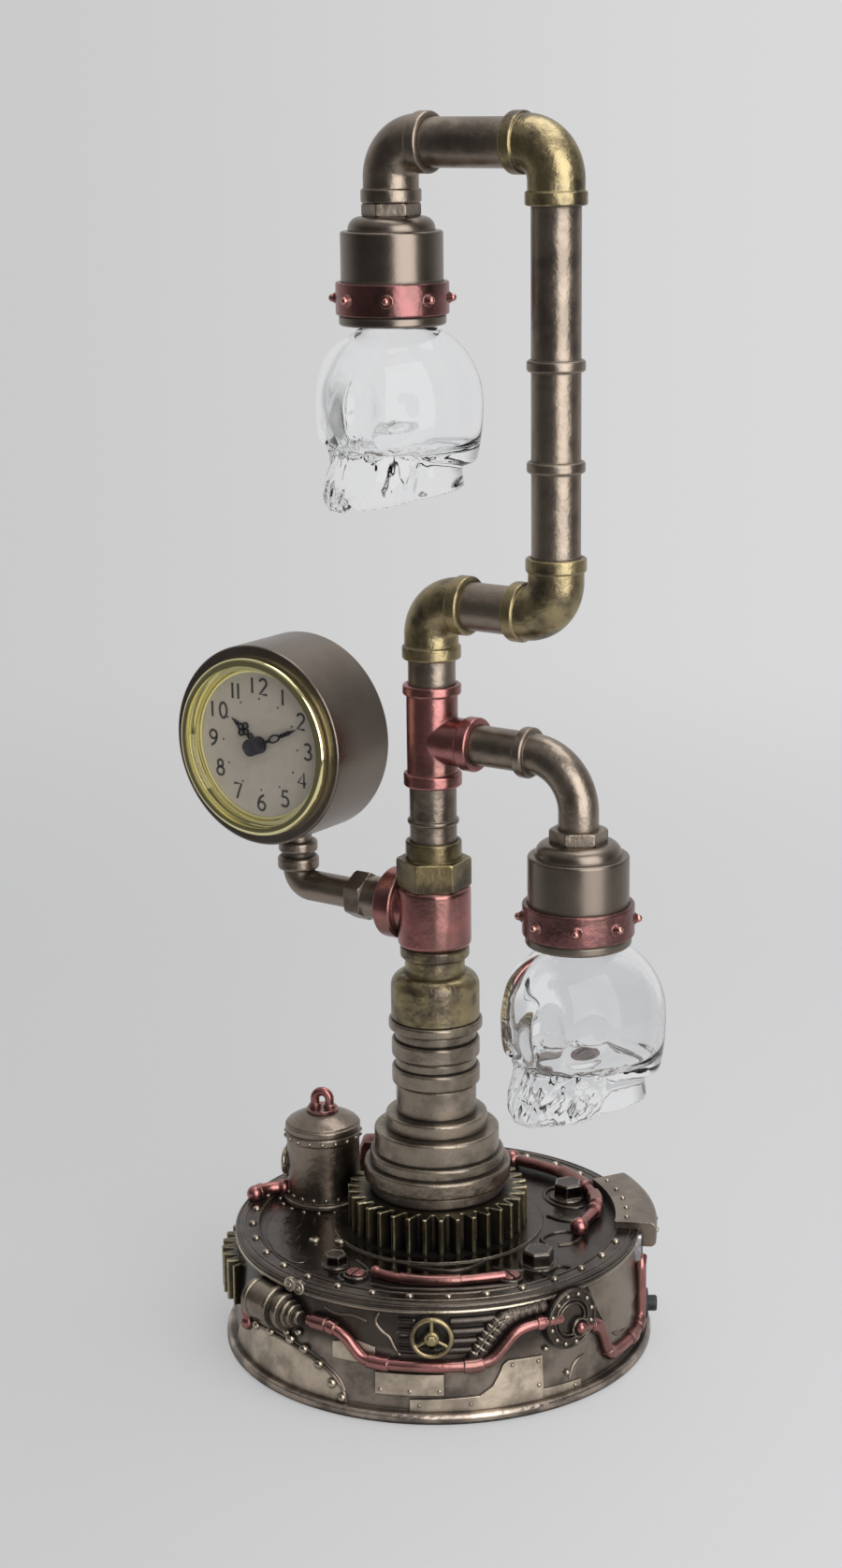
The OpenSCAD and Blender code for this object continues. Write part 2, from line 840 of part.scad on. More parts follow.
module foot_tee() {
    color(copper)
        difference() {
            union() {
                ring(0, foot_tee_d, bell_top, foot_tee_top, 1.6);
                translate([0, 0, clock_arm_z])
                    rotate([0, -90, 0]) {
                        cylinder(d = foot_tee_flange_d - 4, h = foot_tee_reach);
                        ring(0, foot_tee_flange_d, foot_tee_reach - foot_tee_flange_l, foot_tee_reach, 0.9);
                    }
            }
            translate([0, 0, bell_top - 1])
                cylinder(d = rod_d + 2 * fit, h = foot_tee_h + 2);
            translate([0, 0, clock_arm_z])
                rotate([0, -90, 0])
                    cylinder(d = clock_arm_bore_d, h = foot_tee_reach + 1);
            translate([0, 0, foot_tee_top])
                cylinder(d = tee_nut_d + 2 * fit, h = tee_nut_h);
        }
}

module tee_nut() {
    color(brass)
        difference() {
            union() {
                rotate([0, 0, nut_turn])
                    hex_head(tee_nut_d, foot_tee_top, nut_top);
                ring(0, tee_nut_collar_d, nut_top - 1, nut_collar_top, 0.7);
            }
            translate([0, 0, foot_tee_top - 1])
                cylinder(d = rod_d + 2 * fit, h = tee_nut_h + 2);
            translate([0, 0, nut_top])
                cylinder(d = pipe_d + 2 * fit, h = tee_nut_collar_h + 1);
        }
}

module post_pipe() {
    color(bronze) {
        tube(pipe_d, pipe_bore_d, nut_top, tee_z + socket_l);
        translate([0, 0, nut_collar_top + post_gap * 0.3])
            ring(pipe_bore_d, pipe_d + 1.6, 0, 2, 0.9);
    }
}

// A straight port of a fitting: body, end collar, bore and socket, built along +Z
module port_body(d, reach, rim, rim_l) {
    cylinder(d = d, h = reach);
    ring(0, rim, reach - rim_l, reach, 0.8);
}
module port_bore(bore, socket, reach) {
    cylinder(d = bore, h = reach + 1);
    translate([0, 0, reach - socket_l])
        cylinder(d = socket + 2 * fit, h = socket_l + 1);
}

module upper_tee() {
    branch_d = arm_d + 2.8;
    color(copper)
        translate([0, 0, arm_z])
            difference() {
                union() {
                    port_body(elbow_d - 0.8, tee_h - tee_branch_z, collar_d, collar_l - 1);
                    mirror([0, 0, 1])
                        port_body(elbow_d - 0.8, tee_branch_z, collar_d, collar_l);
                    along_x()
                        port_body(branch_d, tee_reach, branch_d + 2, collar_l);
                }
                port_bore(pipe_bore_d, pipe_d, tee_h - tee_branch_z);
                mirror([0, 0, 1])
                    port_bore(pipe_bore_d, pipe_d, tee_branch_z);
                along_x()
                    port_bore(arm_bore_d, arm_d, tee_reach);
            }
}

module post_stub() {
    color(bronze)
        tube(pipe_d, pipe_bore_d, tee_top - socket_l, low_z - elbow_rise + socket_l);
}

// A quarter bend from straight down to +X about a corner at the origin
module quarter_bend(d, r) {
    translate([r, 0, -r])
        rotate([90, 0, 0])
            rotate([0, 0, 90])
                rotate_extrude(angle = 90)
                    translate([r, 0])
                        circle(d = d);
}

// An elbow whose corner is at the origin, with ports down and along +X
module elbow() {
    reach = elbow_reach;
    difference() {
        union() {
            quarter_bend(elbow_d, bend_r);
            mirror([0, 0, 1])
                translate([0, 0, bend_r])
                    port_body(elbow_d, elbow_rise - bend_r, collar_d, collar_l);
            along_x()
                translate([0, 0, bend_r])
                    cylinder(d = elbow_d, h = reach - bend_r);
            along_x()
                ring(0, collar_d, reach - collar_l, reach, 0.8);
        }
        quarter_bend(pipe_bore_d, bend_r);
        mirror([0, 0, 1])
            translate([0, 0, bend_r])
                port_bore(pipe_bore_d, pipe_d, elbow_rise - bend_r);
        along_x()
            translate([0, 0, bend_r])
                cylinder(d = pipe_bore_d, h = reach);
        along_x()
            translate([0, 0, reach - socket_l])
                cylinder(d = pipe_d + 2 * fit, h = socket_l + 1);
    }
}

module low_left_elbow() {
    color(brass)
        translate([0, 0, low_z])
            elbow();
}

module low_pipe() {
    start = elbow_reach - socket_l;
    end = loop_x - elbow_reach + socket_l;
    color(bronze)
        translate([0, 0, low_z])
            along_x()
                tube(pipe_d, pipe_bore_d, start, end);
}

module low_right_elbow() {
    color(brass)
        translate([loop_x, 0, low_z])
            rotate([0, 180, 0])
                elbow();
}

module riser_pipe() {
    color(bronze)
        translate([loop_x, 0, 0]) {
            tube(pipe_d, pipe_bore_d, low_z + elbow_rise - socket_l, top_z - elbow_rise + socket_l);
            for (z = [riser_bead_1, riser_bead_2])
                translate([0, 0, low_z + z])
                    ring(pipe_bore_d, pipe_bead_d, -pipe_bead_h / 2, pipe_bead_h / 2, 1);
        }
}

module top_right_elbow() {
    color(brass)
        translate([loop_x, 0, top_z])
            mirror([1, 0, 0])
                elbow();
}

module top_pipe() {
    start = upper_lamp_x + elbow_reach - socket_l;
    end = loop_x - elbow_reach + socket_l;
    color(bronze)
        translate([0, 0, top_z])
            along_x()
                tube(pipe_d, pipe_bore_d, start, end);
}

module top_left_elbow() {
    color(bronze)
        translate([upper_lamp_x, 0, top_z])
            elbow();
}

// A lamp nut with a spigot that plugs the pipe above it
module lamp_nut(top, spigot_d) {
    color(bronze)
        difference() {
            union() {
                rotate([0, 0, nut_turn])
                    hex_head(lamp_nut_d, top - lamp_nut_h, top);
                translate([0, 0, top - 1])
                    cylinder(d = spigot_d, h = socket_l + 1 - fit);
            }
            translate([0, 0, top - lamp_nut_h - 1])
                cylinder(d = arm_bore_d - 2, h = lamp_nut_h + socket_l + 2);
        }
}

// A lamp holder: lip, band seat, can and round shoulder, its lip at height 0
module lamp_holder() {
    can_top = holder_h - shoulder_h;
    color(bronze)
        difference() {
            union() {
                ring(0, can_d + 1.6, 0, lip_h, 0.9);
                ring(0, can_d, lip_h / 2, can_top, 0.9);
                ring(0, can_d - 5, can_top - shoulder_h, holder_h, shoulder_h - 0.4);
            }
            translate([0, 0, led_z + led_t + led_dome_r])
                cylinder(r = can_inside_r, h = can_top - led_z - led_t - led_dome_r - can_wall);
            translate([0, 0, led_z - fit])
                cylinder(d = led_d + 2 * fit, h = led_t + led_dome_r + 2 * fit);
            translate([0, 0, -1])
                cylinder(r = collar_inside_r, h = led_z + 2);
            cylinder(d = arm_bore_d - 2, h = holder_h + 1);
        }
}

// The copper band with its ring of studs
module stud_band() {
    color(copper)
        translate([0, 0, ring_z]) {
            ring(2 * band_seat_r + 2 * fit, ring_d, 0, ring_h, 0.6);
            for (i = [0 : stud_count - 1])
                rotate([0, 0, (i + 0.65) * 360 / stud_count])
                    translate([ring_d / 2 - 0.5, 0, ring_h / 2])
                        along_x() {
                            cylinder(d1 = stud_d + 0.6, d2 = 1.8, h = stud_h + 0.2);
                            translate([0, 0, stud_h - 0.2])
                                sphere(d = 1.9);
                        }
        }
}

// The glass: a head described by its distance from its own centre in each direction.
// Direction 0 is straight ahead, turn runs to the side, rise runs up.
head_rows = 21;
head_cols = 36;
rise_first = 60;
rise_last = -80;
function bump(turn, rise, at, width, height) =
    let (t = abs(turn) - at[0])
    exp(-(t * t) / (width * width) - (rise - at[1]) * (rise - at[1]) / (height * height));

// A smooth rounded head without a face
function head_plain(turn, rise) =
    let (low = max(0, -sin(rise)),
         a = skull_w / 2 * (1 - 0.22 * low * low),
         b = skull_depth / 2 * (1 - 0.06 * low),
         c = rise > 0 ? skull_drop + 2 : (skull_h - skull_drop) * 1.22,
         n = 2 + 0.7 * low,
         x = abs(sin(turn) * cos(rise)) / a,
         y = abs(cos(turn) * cos(rise)) / b,
         z = abs(sin(rise)) / c)
    pow(pow(x, n) + pow(y, n) + pow(z, n), -1 / n);

// The dents and swellings of the face and the back of the head
function head_relief(turn, rise) =
    -5 * bump(turn, rise, [36, 0], 13, 22)
    + 1.2 * bump(turn, rise, [0, 36], 50, 16)
    - 5 * bump(turn, rise, [0, -34], 34, 8)
    + 2 * bump(turn, rise, [64, -16], 14, 7)
    - 3 * bump(turn, rise, [64, -38], 18, 8)
    + 5 * bump(turn, rise, [0, -53], 36, 10)
    - 2.2 * bump(turn, rise, [72, 3], 12, 14)
    - 5 * bump(turn, rise, [180, -46], 70, 6);

// Distance to the outer face, kept above the underside, which climbs towards the back
function head_r(turn, rise) =
    let (r = head_plain(turn, rise) + head_relief(turn, rise),
         down = max(0.05, -sin(rise) - 0.16 * cos(turn) * cos(rise)))
    rise < 0 ? min(r, (skull_h - skull_drop) * 0.9 / down) : r;

// Distance to the inner face: smoother than the outside, with a thick floor
function head_inside_r(turn, rise) =
    let (c = pow(cos(rise) / (skull_w / 2 - glass_t), 2) + pow(sin(rise) / hollow_drop, 2),
         floor_r = rise < 0 ? 1 / sqrt(c) : skull_depth)
    min(head_plain(turn, rise) - glass_t, head_r(turn, rise) - glass_t, floor_r);

function head_point(r, turn, rise) = [
    r * sin(turn) * cos(rise),
    skull_back - r * cos(turn) * cos(rise),
    r * sin(rise) - skull_drop
];
function turn_at(i) = let (t = 360 * i / head_cols) t > 180 ? t - 360 : t;
function rise_at(j) = rise_first + (rise_last - rise_first) * j / (head_rows - 1);
function neck_ring(r, z) = [for (i = [0 : head_cols - 1]) [r * sin(turn_at(i)), -r * cos(turn_at(i)), z]];
function outer_row(j) = [
    for (i = [0 : head_cols - 1]) head_point(head_r(turn_at(i), rise_at(j)), turn_at(i), rise_at(j))
];
function inner_row(j) = [
    for (i = [0 : head_cols - 1]) head_point(head_inside_r(turn_at(i), rise_at(j)), turn_at(i), rise_at(j))
];
function joined(lists) = [for (l = lists) each l];

module glass_head() {
    inner_neck = neck_r - glass_t;
    outer = concat([neck_ring(neck_r, neck_l), neck_ring(neck_r, -0.2)],
                   [for (j = [0 : head_rows - 1]) outer_row(j)]);
    inner = concat([for (j = [head_rows - 1 : -1 : 0]) inner_row(j)],
                   [neck_ring(inner_neck, -0.4), neck_ring(inner_neck, neck_l)]);
    rows = concat(outer, inner);
    n = head_cols;
    low_outer = head_point(head_r(0, -90), 0, -90);
    low_inner = head_point(hollow_drop, 0, -90);
    a = len(rows) * n;
    last = len(outer) - 1;
    function quad(j, k, i) =
        let (p = j * n + i, q = j * n + (i + 1) % n, s = k * n + i, t = k * n + (i + 1) % n)
        [[p, s, q], [q, s, t]];
    skin = [
        for (j = [0 : len(rows) - 1])
            if (j != last)
                for (i = [0 : n - 1]) each quad(j, (j + 1) % len(rows), i)
    ];
    outer_floor = [for (i = [0 : n - 1]) [last * n + i, a, last * n + (i + 1) % n]];
    inner_floor = [for (i = [0 : n - 1]) [a + 1, (last + 1) * n + i, (last + 1) * n + (i + 1) % n]];
    color(clear_glass)
        rotate([0, 0, face_turn])
            polyhedron(
                points = concat(joined(rows), [low_outer, low_inner]),
                faces = concat(skin, outer_floor, inner_floor)
            );
}

// Pieces of a lamp at the upper and the lower place
module at_upper() {
    translate([upper_lamp_x, 0, upper_lip_z])
        children();
}
module at_lower() {
    translate([lower_lamp_x, 0, lower_lip_z])
        children();
}
module upper_nut() {
    translate([upper_lamp_x, 0, 0])
        lamp_nut(upper_nut_top, pipe_d);
}
module lower_nut() {
    translate([lower_lamp_x, 0, 0])
        lamp_nut(lower_nut_top, arm_bore_d - 2 * fit);
}
module upper_holder() {
    at_upper()
        lamp_holder();
}
module lower_holder() {
    at_lower()
        lamp_holder();
}
module upper_band() {
    at_upper()
        stud_band();
}
module lower_band() {
    at_lower()
        stud_band();
}
module upper_glass() {
    at_upper()
        glass_head();
}
module lower_glass() {
    at_lower()
        glass_head();
}

// The round board of a lamp with its small light dome facing down into the neck
module led_board() {
    color("white")
        translate([0, 0, led_z]) {
            cylinder(d = led_d, h = led_t);
            translate([0, 0, 0.2])
                intersection() {
                    sphere(r = led_dome_r);
                    translate([0, 0, -2 * led_dome_r])
                        cylinder(r = led_dome_r, h = 2 * led_dome_r);
                }
        }
}

module led_boards() {
    at_upper()
        led_board();
    at_lower()
        led_board();
}

module arm_pipe() {
    color(bronze)
        translate([0, 0, arm_z])
            along_x()
                tube(arm_d, arm_bore_d, tee_reach - socket_l, arm_collar_end - 0.8);
}
arm_collar_end = lower_lamp_x - arm_bend_r;

module arm_bend() {
    color(bronze)
        difference() {
            union() {
                translate([lower_lamp_x, 0, arm_z])
                    mirror([1, 0, 0])
                        quarter_bend(arm_d - 0.2, arm_bend_r);
                translate([lower_lamp_x, 0, lower_nut_top])
                    cylinder(d = arm_d - 0.2, h = arm_drop);
                translate([0, 0, arm_z])
                    along_x()
                        ring(0, arm_collar_d, arm_collar_end - arm_collar_l, arm_collar_end, 0.9);
            }
            translate([lower_lamp_x, 0, arm_z])
                mirror([1, 0, 0])
                    quarter_bend(arm_bore_d, arm_bend_r);
            translate([lower_lamp_x, 0, lower_nut_top - 1])
                cylinder(d = arm_bore_d, h = arm_drop + 1);
            translate([0, 0, arm_z])
                along_x()
                    translate([0, 0, arm_collar_end - arm_collar_l - 1])
                        cylinder(d = arm_d + 2 * fit, h = arm_collar_l + 0.2 + fit);
            translate([0, 0, arm_z])
                along_x()
                    translate([0, 0, arm_collar_end - arm_collar_l])
                        cylinder(d = arm_bore_d, h = arm_collar_l);
        }
}

// The clock's arm, its nut and its upright
arm_nut_start = foot_tee_reach;
arm_nut_hex = arm_nut_start + arm_nut_round_l;
arm_nut_end = arm_nut_hex + arm_nut_l;
upright_z = clock_arm_z + clock_bend_r;

module arm_nut() {
    color(bronze)
        translate([0, 0, clock_arm_z])
            rotate([0, -90, 0])
                difference() {
                    union() {
                        hex_head(arm_nut_d, arm_nut_hex, arm_nut_end);
                        ring(0, arm_nut_round_d, arm_nut_start, arm_nut_hex + 1, 0.8);
                    }
                    translate([0, 0, arm_nut_start - 1])
                        cylinder(d = clock_arm_bore_d, h = arm_nut_end);
                    translate([0, 0, arm_nut_hex])
                        cylinder(d = clock_arm_d + 2 * fit, h = arm_nut_l + 1);
                }
}

module clock_arm() {
    color(bronze)
        difference() {
            clock_arm_run(clock_arm_d);
            clock_arm_run(clock_arm_bore_d);
            translate([0, 0, clock_arm_z])
                rotate([0, -90, 0])
                    cylinder(d = clock_arm_bore_d, h = arm_nut_hex + 1);
            translate([-clock_x, 0, upright_z + 2])
                cylinder(d = clock_arm_bore_d, h = 2);
        }
}

// The arm's path: level from its nut, then a bend up to its end in the collar
module clock_arm_run(d) {
    translate([0, 0, clock_arm_z])
        rotate([0, -90, 0])
            translate([0, 0, arm_nut_hex])
                cylinder(d = d, h = clock_x - clock_bend_r - arm_nut_hex);
    translate([-clock_x, 0, clock_arm_z])
        mirror([0, 0, 1])
            quarter_bend(d, clock_bend_r);
    translate([-clock_x, 0, upright_z])
        cylinder(d = d, h = 3);
}

module clock_upright() {
    collar_z = upright_z - 0.4;
    nut_z = collar_z + upright_collar_h + 1.6;
    color(bronze)
        translate([-clock_x, 0, 0])
            difference() {
                union() {
                    ring(0, upright_collar_d, collar_z, collar_z + upright_collar_h, 1.2);
                    ring(0, upright_nut_d, nut_z, nut_z + upright_nut_h, 1);
                    translate([0, 0, collar_z + 1])
                        cylinder(d = upright_d, h = clock_z - collar_z - 1);
                }
                translate([0, 0, collar_z - 1])
                    cylinder(d = clock_arm_d + 2 * fit, h = 4.4 + fit);
                translate([0, 0, collar_z])
                    cylinder(d = clock_arm_bore_d - 1, h = clock_z);
                translate([0, 0, clock_z])
                    rotate([90, 0, 0])
                        cylinder(d = case_d + 2 * fit, h = 2 * case_depth, center = true);
            }
}

// Stands a piece that is built along its own +Z on the clock's axis, facing forward
module on_clock() {
    translate([-clock_x, 0, clock_z])
        rotate([90, 0, 0])
            children();
}

module clock_case() {
    color(bronze)
        on_clock()
            difference() {
                ring(0, case_d, case_back, case_front, 0.8);
                translate([0, 0, case_back + case_wall])
                    cylinder(r = case_d / 2 - case_wall, h = case_depth - 2 * case_wall);
                cylinder(r = bore_r, h = case_front + 1);
            }
}

module clock_gasket() {
    color(black)
        on_clock()
            ring(2 * (insert_r + fit), 2 * gasket_r, dial_z - sleeve_l * 0.8, dial_z - sleeve_l * 0.2, 0.4);
}

module clock_movement() {
    color(black)
        on_clock()
            difference() {
                union() {
                    translate([0, 0, movement_z])
                        cylinder(r = movement_r, h = movement_depth);
                    cylinder(r = hour_tube_r, h = dial_z + dial_t);
                }
                translate([0, -knob_x, movement_z - 1])
                    cylinder(r = knob_pin_r + run, h = 4);
                translate([0, 0, movement_z + 4])
                    cylinder(r = arbor_r + run, h = 2 * movement_depth);
            }
}

module clock_bezel() {
    inner = 2 * movement_r + 2 * fit;
    color(gold)
        on_clock()
            union() {
                ring(2 * lens_r + 2 * fit, bezel_d, case_front, case_front + bezel_h, bezel_round);
                tube(2 * insert_r, inner, dial_z - sleeve_l, case_front);
                tube(2 * bore_r + 2 * sleeve_t, inner, case_front, lens_edge_z - lens_t - clear);
            }
}

module clock_lens() {
    color(clear_glass)
        on_clock()
            intersection() {
                translate([0, 0, lens_edge_z - lens_t])
                    cylinder(r = lens_r, h = lens_rise + lens_t + 1);
                translate([0, 0, lens_edge_z + lens_rise - lens_ball])
                    difference() {
                        sphere(r = lens_ball);
                        sphere(r = lens_ball - lens_t);
                    }
            }
}

module clock_dial() {
    color("antiquewhite")
        on_clock()
            translate([0, 0, dial_z])
                linear_extrude(dial_t)
                    difference() {
                        circle(r = movement_r);
                        circle(r = hour_tube_r + run);
                    }
}

// A pierced hand that points to twelve: a round boss, two open loops and a slim point
module hand_outline(length, boss_r) {
    loops = [[0.36, 0.13], [0.62, 0.1]];
    difference() {
        union() {
            circle(r = boss_r);
            translate([-0.45, 0])
                square([0.9, length * 0.75]);
            for (l = loops)
                translate([0, l[0] * length])
                    circle(r = l[1] * length);
            polygon([[-0.6, length * 0.7], [0.6, length * 0.7], [0, length]]);
        }
        for (l = loops)
            translate([0, l[0] * length])
                circle(r = l[1] * length - 0.75);
    }
}

module hour_hand() {
    color(black)
        on_clock()
            translate([0, 0, hour_z])
                rotate([0, 0, -hour_angle])
                    linear_extrude(hand_t)
                        difference() {
                            hand_outline(hour_len, 3.4);
                            circle(r = arbor_r + 2 * run);
                        }
}

module minute_hand() {
    color(black)
        on_clock()
            union() {
                translate([0, 0, minute_z])
                    rotate([0, 0, -minute_angle])
                        linear_extrude(hand_t)
                            hand_outline(minute_len, 2.8);
                translate([0, 0, movement_z + 4 + clear])
                    cylinder(r = arbor_r, h = minute_z - movement_z - 4);
                ring(0, hub_d, minute_z, hub_top, 0.5);
            }
}

module setting_knob() {
    color("dimgray")
        on_clock()
            translate([0, -knob_x, 0])
                union() {
                    ring(0, knob_d, movement_z - clear - knob_h, movement_z - clear, 0.5);
                    translate([0, 0, movement_z - 1])
                        cylinder(r = knob_pin_r, h = 3.6);
                }
}

// The sector of the side gear that stands out of the wall, as a flat wedge about its axis
module gear_sector(spread) {
    reach = side_gear_d;
    side = reach * [cos(spread), sin(spread)];
    polygon([[0, 0], [side[0], -side[1]], [1.5 * reach, 0], side]);
}

// Lifts a flat shape to the side gear's place and thickness
module side_gear_slab(gap) {
    rotate([0, 0, side_gear_angle])
        translate([0, 0, side_gear_z - gap])
            linear_extrude(side_gear_t + 2 * gap)
                difference() {
                    translate([side_gear_x, 0])
                        children();
                    circle(r = gear_seat_r + fit - gap);
                }
}

module side_gear() {
    color(brass)
        side_gear_slab(0)
            intersection() {
                gear_outline(side_gear_d, tooth_depth, side_gear_teeth);
                gear_sector(gear_spread);
            }
}

module canister() {
    r = canister_d / 2;
    turns = [
        [r + 0.4, 2.2], [r, 8.6], [r + 0.8, 2.2], [r - 0.8, 2.6], [r - 0.2, 2], [r - 1.8, 2], [r - 2.8, 2],
        [sleeve_d / 2, 2.4]
    ];
    color(bronze)
        difference() {
            rotate([0, 0, canister_angle])
                translate([wall_r(pipe_high_z) + copper_lift / 2, -canister_l / 2, pipe_high_z - 0.4])
                    rotate([-90, 0, 0])
                        scale(canister_l / 24)
                            for (i = [0 : len(turns) - 1])
                                translate([0, 0, stacked(turns, i)])
                                    ring(0, 2 * turns[i][0], 0, turns[i][1], 0.5);
            base_core(fit);
        }
}

// A point on the drum at a direction and height, on the copper pipes' centre line
function wall_point(p) =
    let (r = wall_r(rim_z) + copper_lift)
    [r * cos(p[0]), r * sin(p[0]), p[1]];

// A rod between two points
module strut(a, b, d) {
    v = b - a;
    flat = norm([v[0], v[1]]);
    translate(a)
        rotate([0, atan2(flat, v[2]), atan2(v[1], v[0])])
            cylinder(d = d, h = norm(v));
}

// Level parts of the two copper pipes: first direction, last direction and height
front_level = [
    [canister_angle + 11.4, -83, pipe_high_z], [-72, -44, pipe_low_z], [-34, -22.4, pipe_high_z]
];
right_level = [[-1.5, 22, right_low_z]];
front_sleeves = [
    [-88.6, -85.4, pipe_high_z], [-71, -66.5, pipe_low_z], [-50.5, -45, pipe_low_z],
    [-26, -23, pipe_high_z]
];
knuckle_d = copper_d + 0.6;

// A level piece of pipe along the drum
module level_run(part, d) {
    translate([0, 0, part[2]])
        rotate([0, 0, part[0]])
            rotate_extrude(angle = part[1] - part[0])
                translate([wall_r(rim_z) + copper_lift, 0])
                    circle(d = d);
}

// A round knuckle where a pipe changes direction
module knuckle(p) {
    translate(wall_point(p))
        sphere(d = knuckle_d);
}

// A slanting piece of pipe with a knuckle at each end
module slant_run(a, b) {
    strut(wall_point(a), wall_point(b), copper_d);
    knuckle(a);
    knuckle(b);
}

module wall_pipes() {
    color(copper)
        difference() {
            union() {
                for (l = front_level)
                    level_run(l, copper_d);
                slant_run([-83, pipe_high_z], [-72, pipe_low_z]);
                slant_run([-44, pipe_low_z], [-34, pipe_high_z]);
                for (s = front_sleeves)
                    level_run(s, sleeve_d);
            }
            base_core(fit);
            canister_room();
            disc_room();
        }
    color(copper)
        difference() {
            union() {
                for (l = right_level)
                    level_run(l, copper_d);
                slant_run([disc_angle + 4.6, 25.6], [-1.5, right_low_z]);
                slant_run([22, right_low_z], [22, right_top_z]);
                translate([0, 0, 6])
                    strut(wall_point([22, right_low_z]), wall_point([22, right_low_z + 3]), sleeve_d);
            }
            base_core(fit);
            disc_room();
        }
}

// The room that the canister and the disc take from the copper pipes
module canister_room() {
    rotate([0, 0, canister_angle])
        translate([wall_r(pipe_high_z) + copper_lift / 2, -canister_l / 2 - 1, pipe_high_z - 0.4])
            rotate([-90, 0, 0])
                cylinder(d = canister_d + 4, h = canister_l + 1 + fit);
}
module disc_room() {
    from_wall(disc_angle, disc_z)
        cylinder(d = disc_d + 2 * fit, h = disc_face + fit);
}

module wall_disc() {
    color(bronze)
        difference() {
            from_wall(disc_angle, disc_z)
                difference() {
                    ring(0, disc_d, disc_seat - 3, disc_face, 0.6);
                    translate([0, 0, disc_face - 0.7])
                        cylinder(d = disc_d - 7, h = 2);
                }
            cylinder(r = disc_seat, h = 2 * base_h, $fn = 360);
        }
}

module handwheel() {
    plane = wall_r(rim_z) + copper_lift + 1.2;
    rim_t = 1.7;
    color(gold)
        difference() {
            from_wall(wheel_angle, wheel_z)
                translate([0, 0, plane])
                    union() {
                        rotate_extrude()
                            translate([(wheel_d - rim_t) / 2, 0])
                                circle(d = rim_t);
                        for (i = [0 : 2])
                            rotate([0, 90, 120 * i + 180])
                                cylinder(d = 1.3, h = (wheel_d - rim_t) / 2);
                        sphere(d = 3);
                        translate([0, 0, -8])
                            cylinder(d = 2, h = 8);
                    }
            base_core();
        }
}

module rim_cover() {
    seat = max(rim_d / 2, wall_r(base_h - cover_skirt)) + fit;
    inner = rim_d / 2 - rim_w;
    low = base_h - cover_skirt;
    color(bronze)
        rotate([0, 0, cover_start])
            rotate_extrude(angle = cover_sweep)
                difference() {
                    ring_profile(inner, seat + cover_reach, low, base_h + cover_rise, cover_round);
                    square([seat, base_h + fit]);
                }
}

// Stands a piece at the boiler's place on the deck
module at_boiler() {
    rotate([0, 0, boiler_angle])
        translate([boiler_x, 0, deck_z])
            rotate([0, 0, -boiler_angle])
                children();
}

module boiler() {
    port_d = 10;
    color(bronze)
        at_boiler()
            union() {
                ring(0, boiler_foot_d, 0, boiler_foot_h, 0.6);
                cylinder(d = boiler_d, h = boiler_h);
                ring(0, boiler_d + 1, boiler_h - 3, boiler_h, 0.5);
                rotate([0, 0, 205])
                    translate([0, 0, boiler_h / 2])
                        along_x()
                            ring(0, port_d, 0, boiler_d / 2 + 0.8, 0.6);
            }
}

module boiler_lid() {
    lid_r = boiler_d / 2 + 0.4;
    ball = (lid_r * lid_r + lid_rise * lid_rise) / (2 * lid_rise);
    color(bronze)
        at_boiler()
            translate([0, 0, boiler_h])
                difference() {
                    union() {
                        ring(0, 2 * lid_r, 0, lid_edge, 0.6);
                        intersection() {
                            translate([0, 0, lid_edge - 0.2])
                                cylinder(r = lid_r - 0.8, h = lid_rise + 1);
                            translate([0, 0, lid_edge + lid_rise - ball])
                                sphere(r = ball);
                        }
                    }
                    translate([0, 0, lid_edge + lid_rise - 0.8])
                        cylinder(d = loop_span + loop_wire_d + 3, h = 4);
                }
}

module boiler_loop() {
    seat = boiler_h + lid_edge + lid_rise - 0.8;
    half = loop_span / 2;
    color(copper)
        at_boiler()
            translate([0, 0, seat])
                rotate([0, 0, 20])
                    union() {
                        cylinder(d = loop_span + loop_wire_d + 2.4, h = 1.4);
                        for (s = [-1, 1])
                            translate([s * half, 0, 0]) {
                                cylinder(d = loop_wire_d, h = loop_leg);
                                ring(0, loop_wire_d + 1, 1, 2.8, 0.4);
                            }
                        translate([0, 0, loop_leg])
                            rotate([90, 0, 0])
                                rotate_extrude(angle = 180)
                                    translate([half, 0])
                                        circle(d = loop_wire_d);
                    }
}

// Directions and distances on the deck
function deck_point(r, angle, z) = [r * cos(angle), r * sin(angle), z];
deck_track = rim_d / 2 - rim_w - copper_d - 1;
bolt_track = deck_track - 7;
bolt_angles = [-100, -12, 59];

// A copper pipe that runs along the deck, about the base's axis
module deck_run(r, z, first, last, d) {
    translate([0, 0, z])
        rotate([0, 0, first])
            rotate_extrude(angle = last - first)
                translate([r, 0])
                    circle(d = d);
}

module deck_fittings() {
    ball_z = deck_z + ball_d / 2 - 0.4;
    color(copper)
        difference() {
            union() {
                deck_run(deck_track, ball_z, 20, 94, copper_d);
                for (a = [20, 94])
                    translate(deck_point(deck_track, a, ball_z))
                        sphere(d = ball_d);
            }
            translate([0, 0, deck_z - 10])
                cylinder(d = rim_d, h = 10);
        }
    color(copper)
        deck_run(deck_track - 3, deck_z + copper_d / 2 - 0.3, -80, -38, copper_d - 0.6);
    color(bronze)
        for (a = bolt_angles)
            translate(deck_point(bolt_track, a, deck_z))
                union() {
                    cylinder(d = bolt_af * 1.5, h = 1);
                    cylinder(d = bolt_af / cos(30), h = bolt_h, $fn = 6);
                }
}

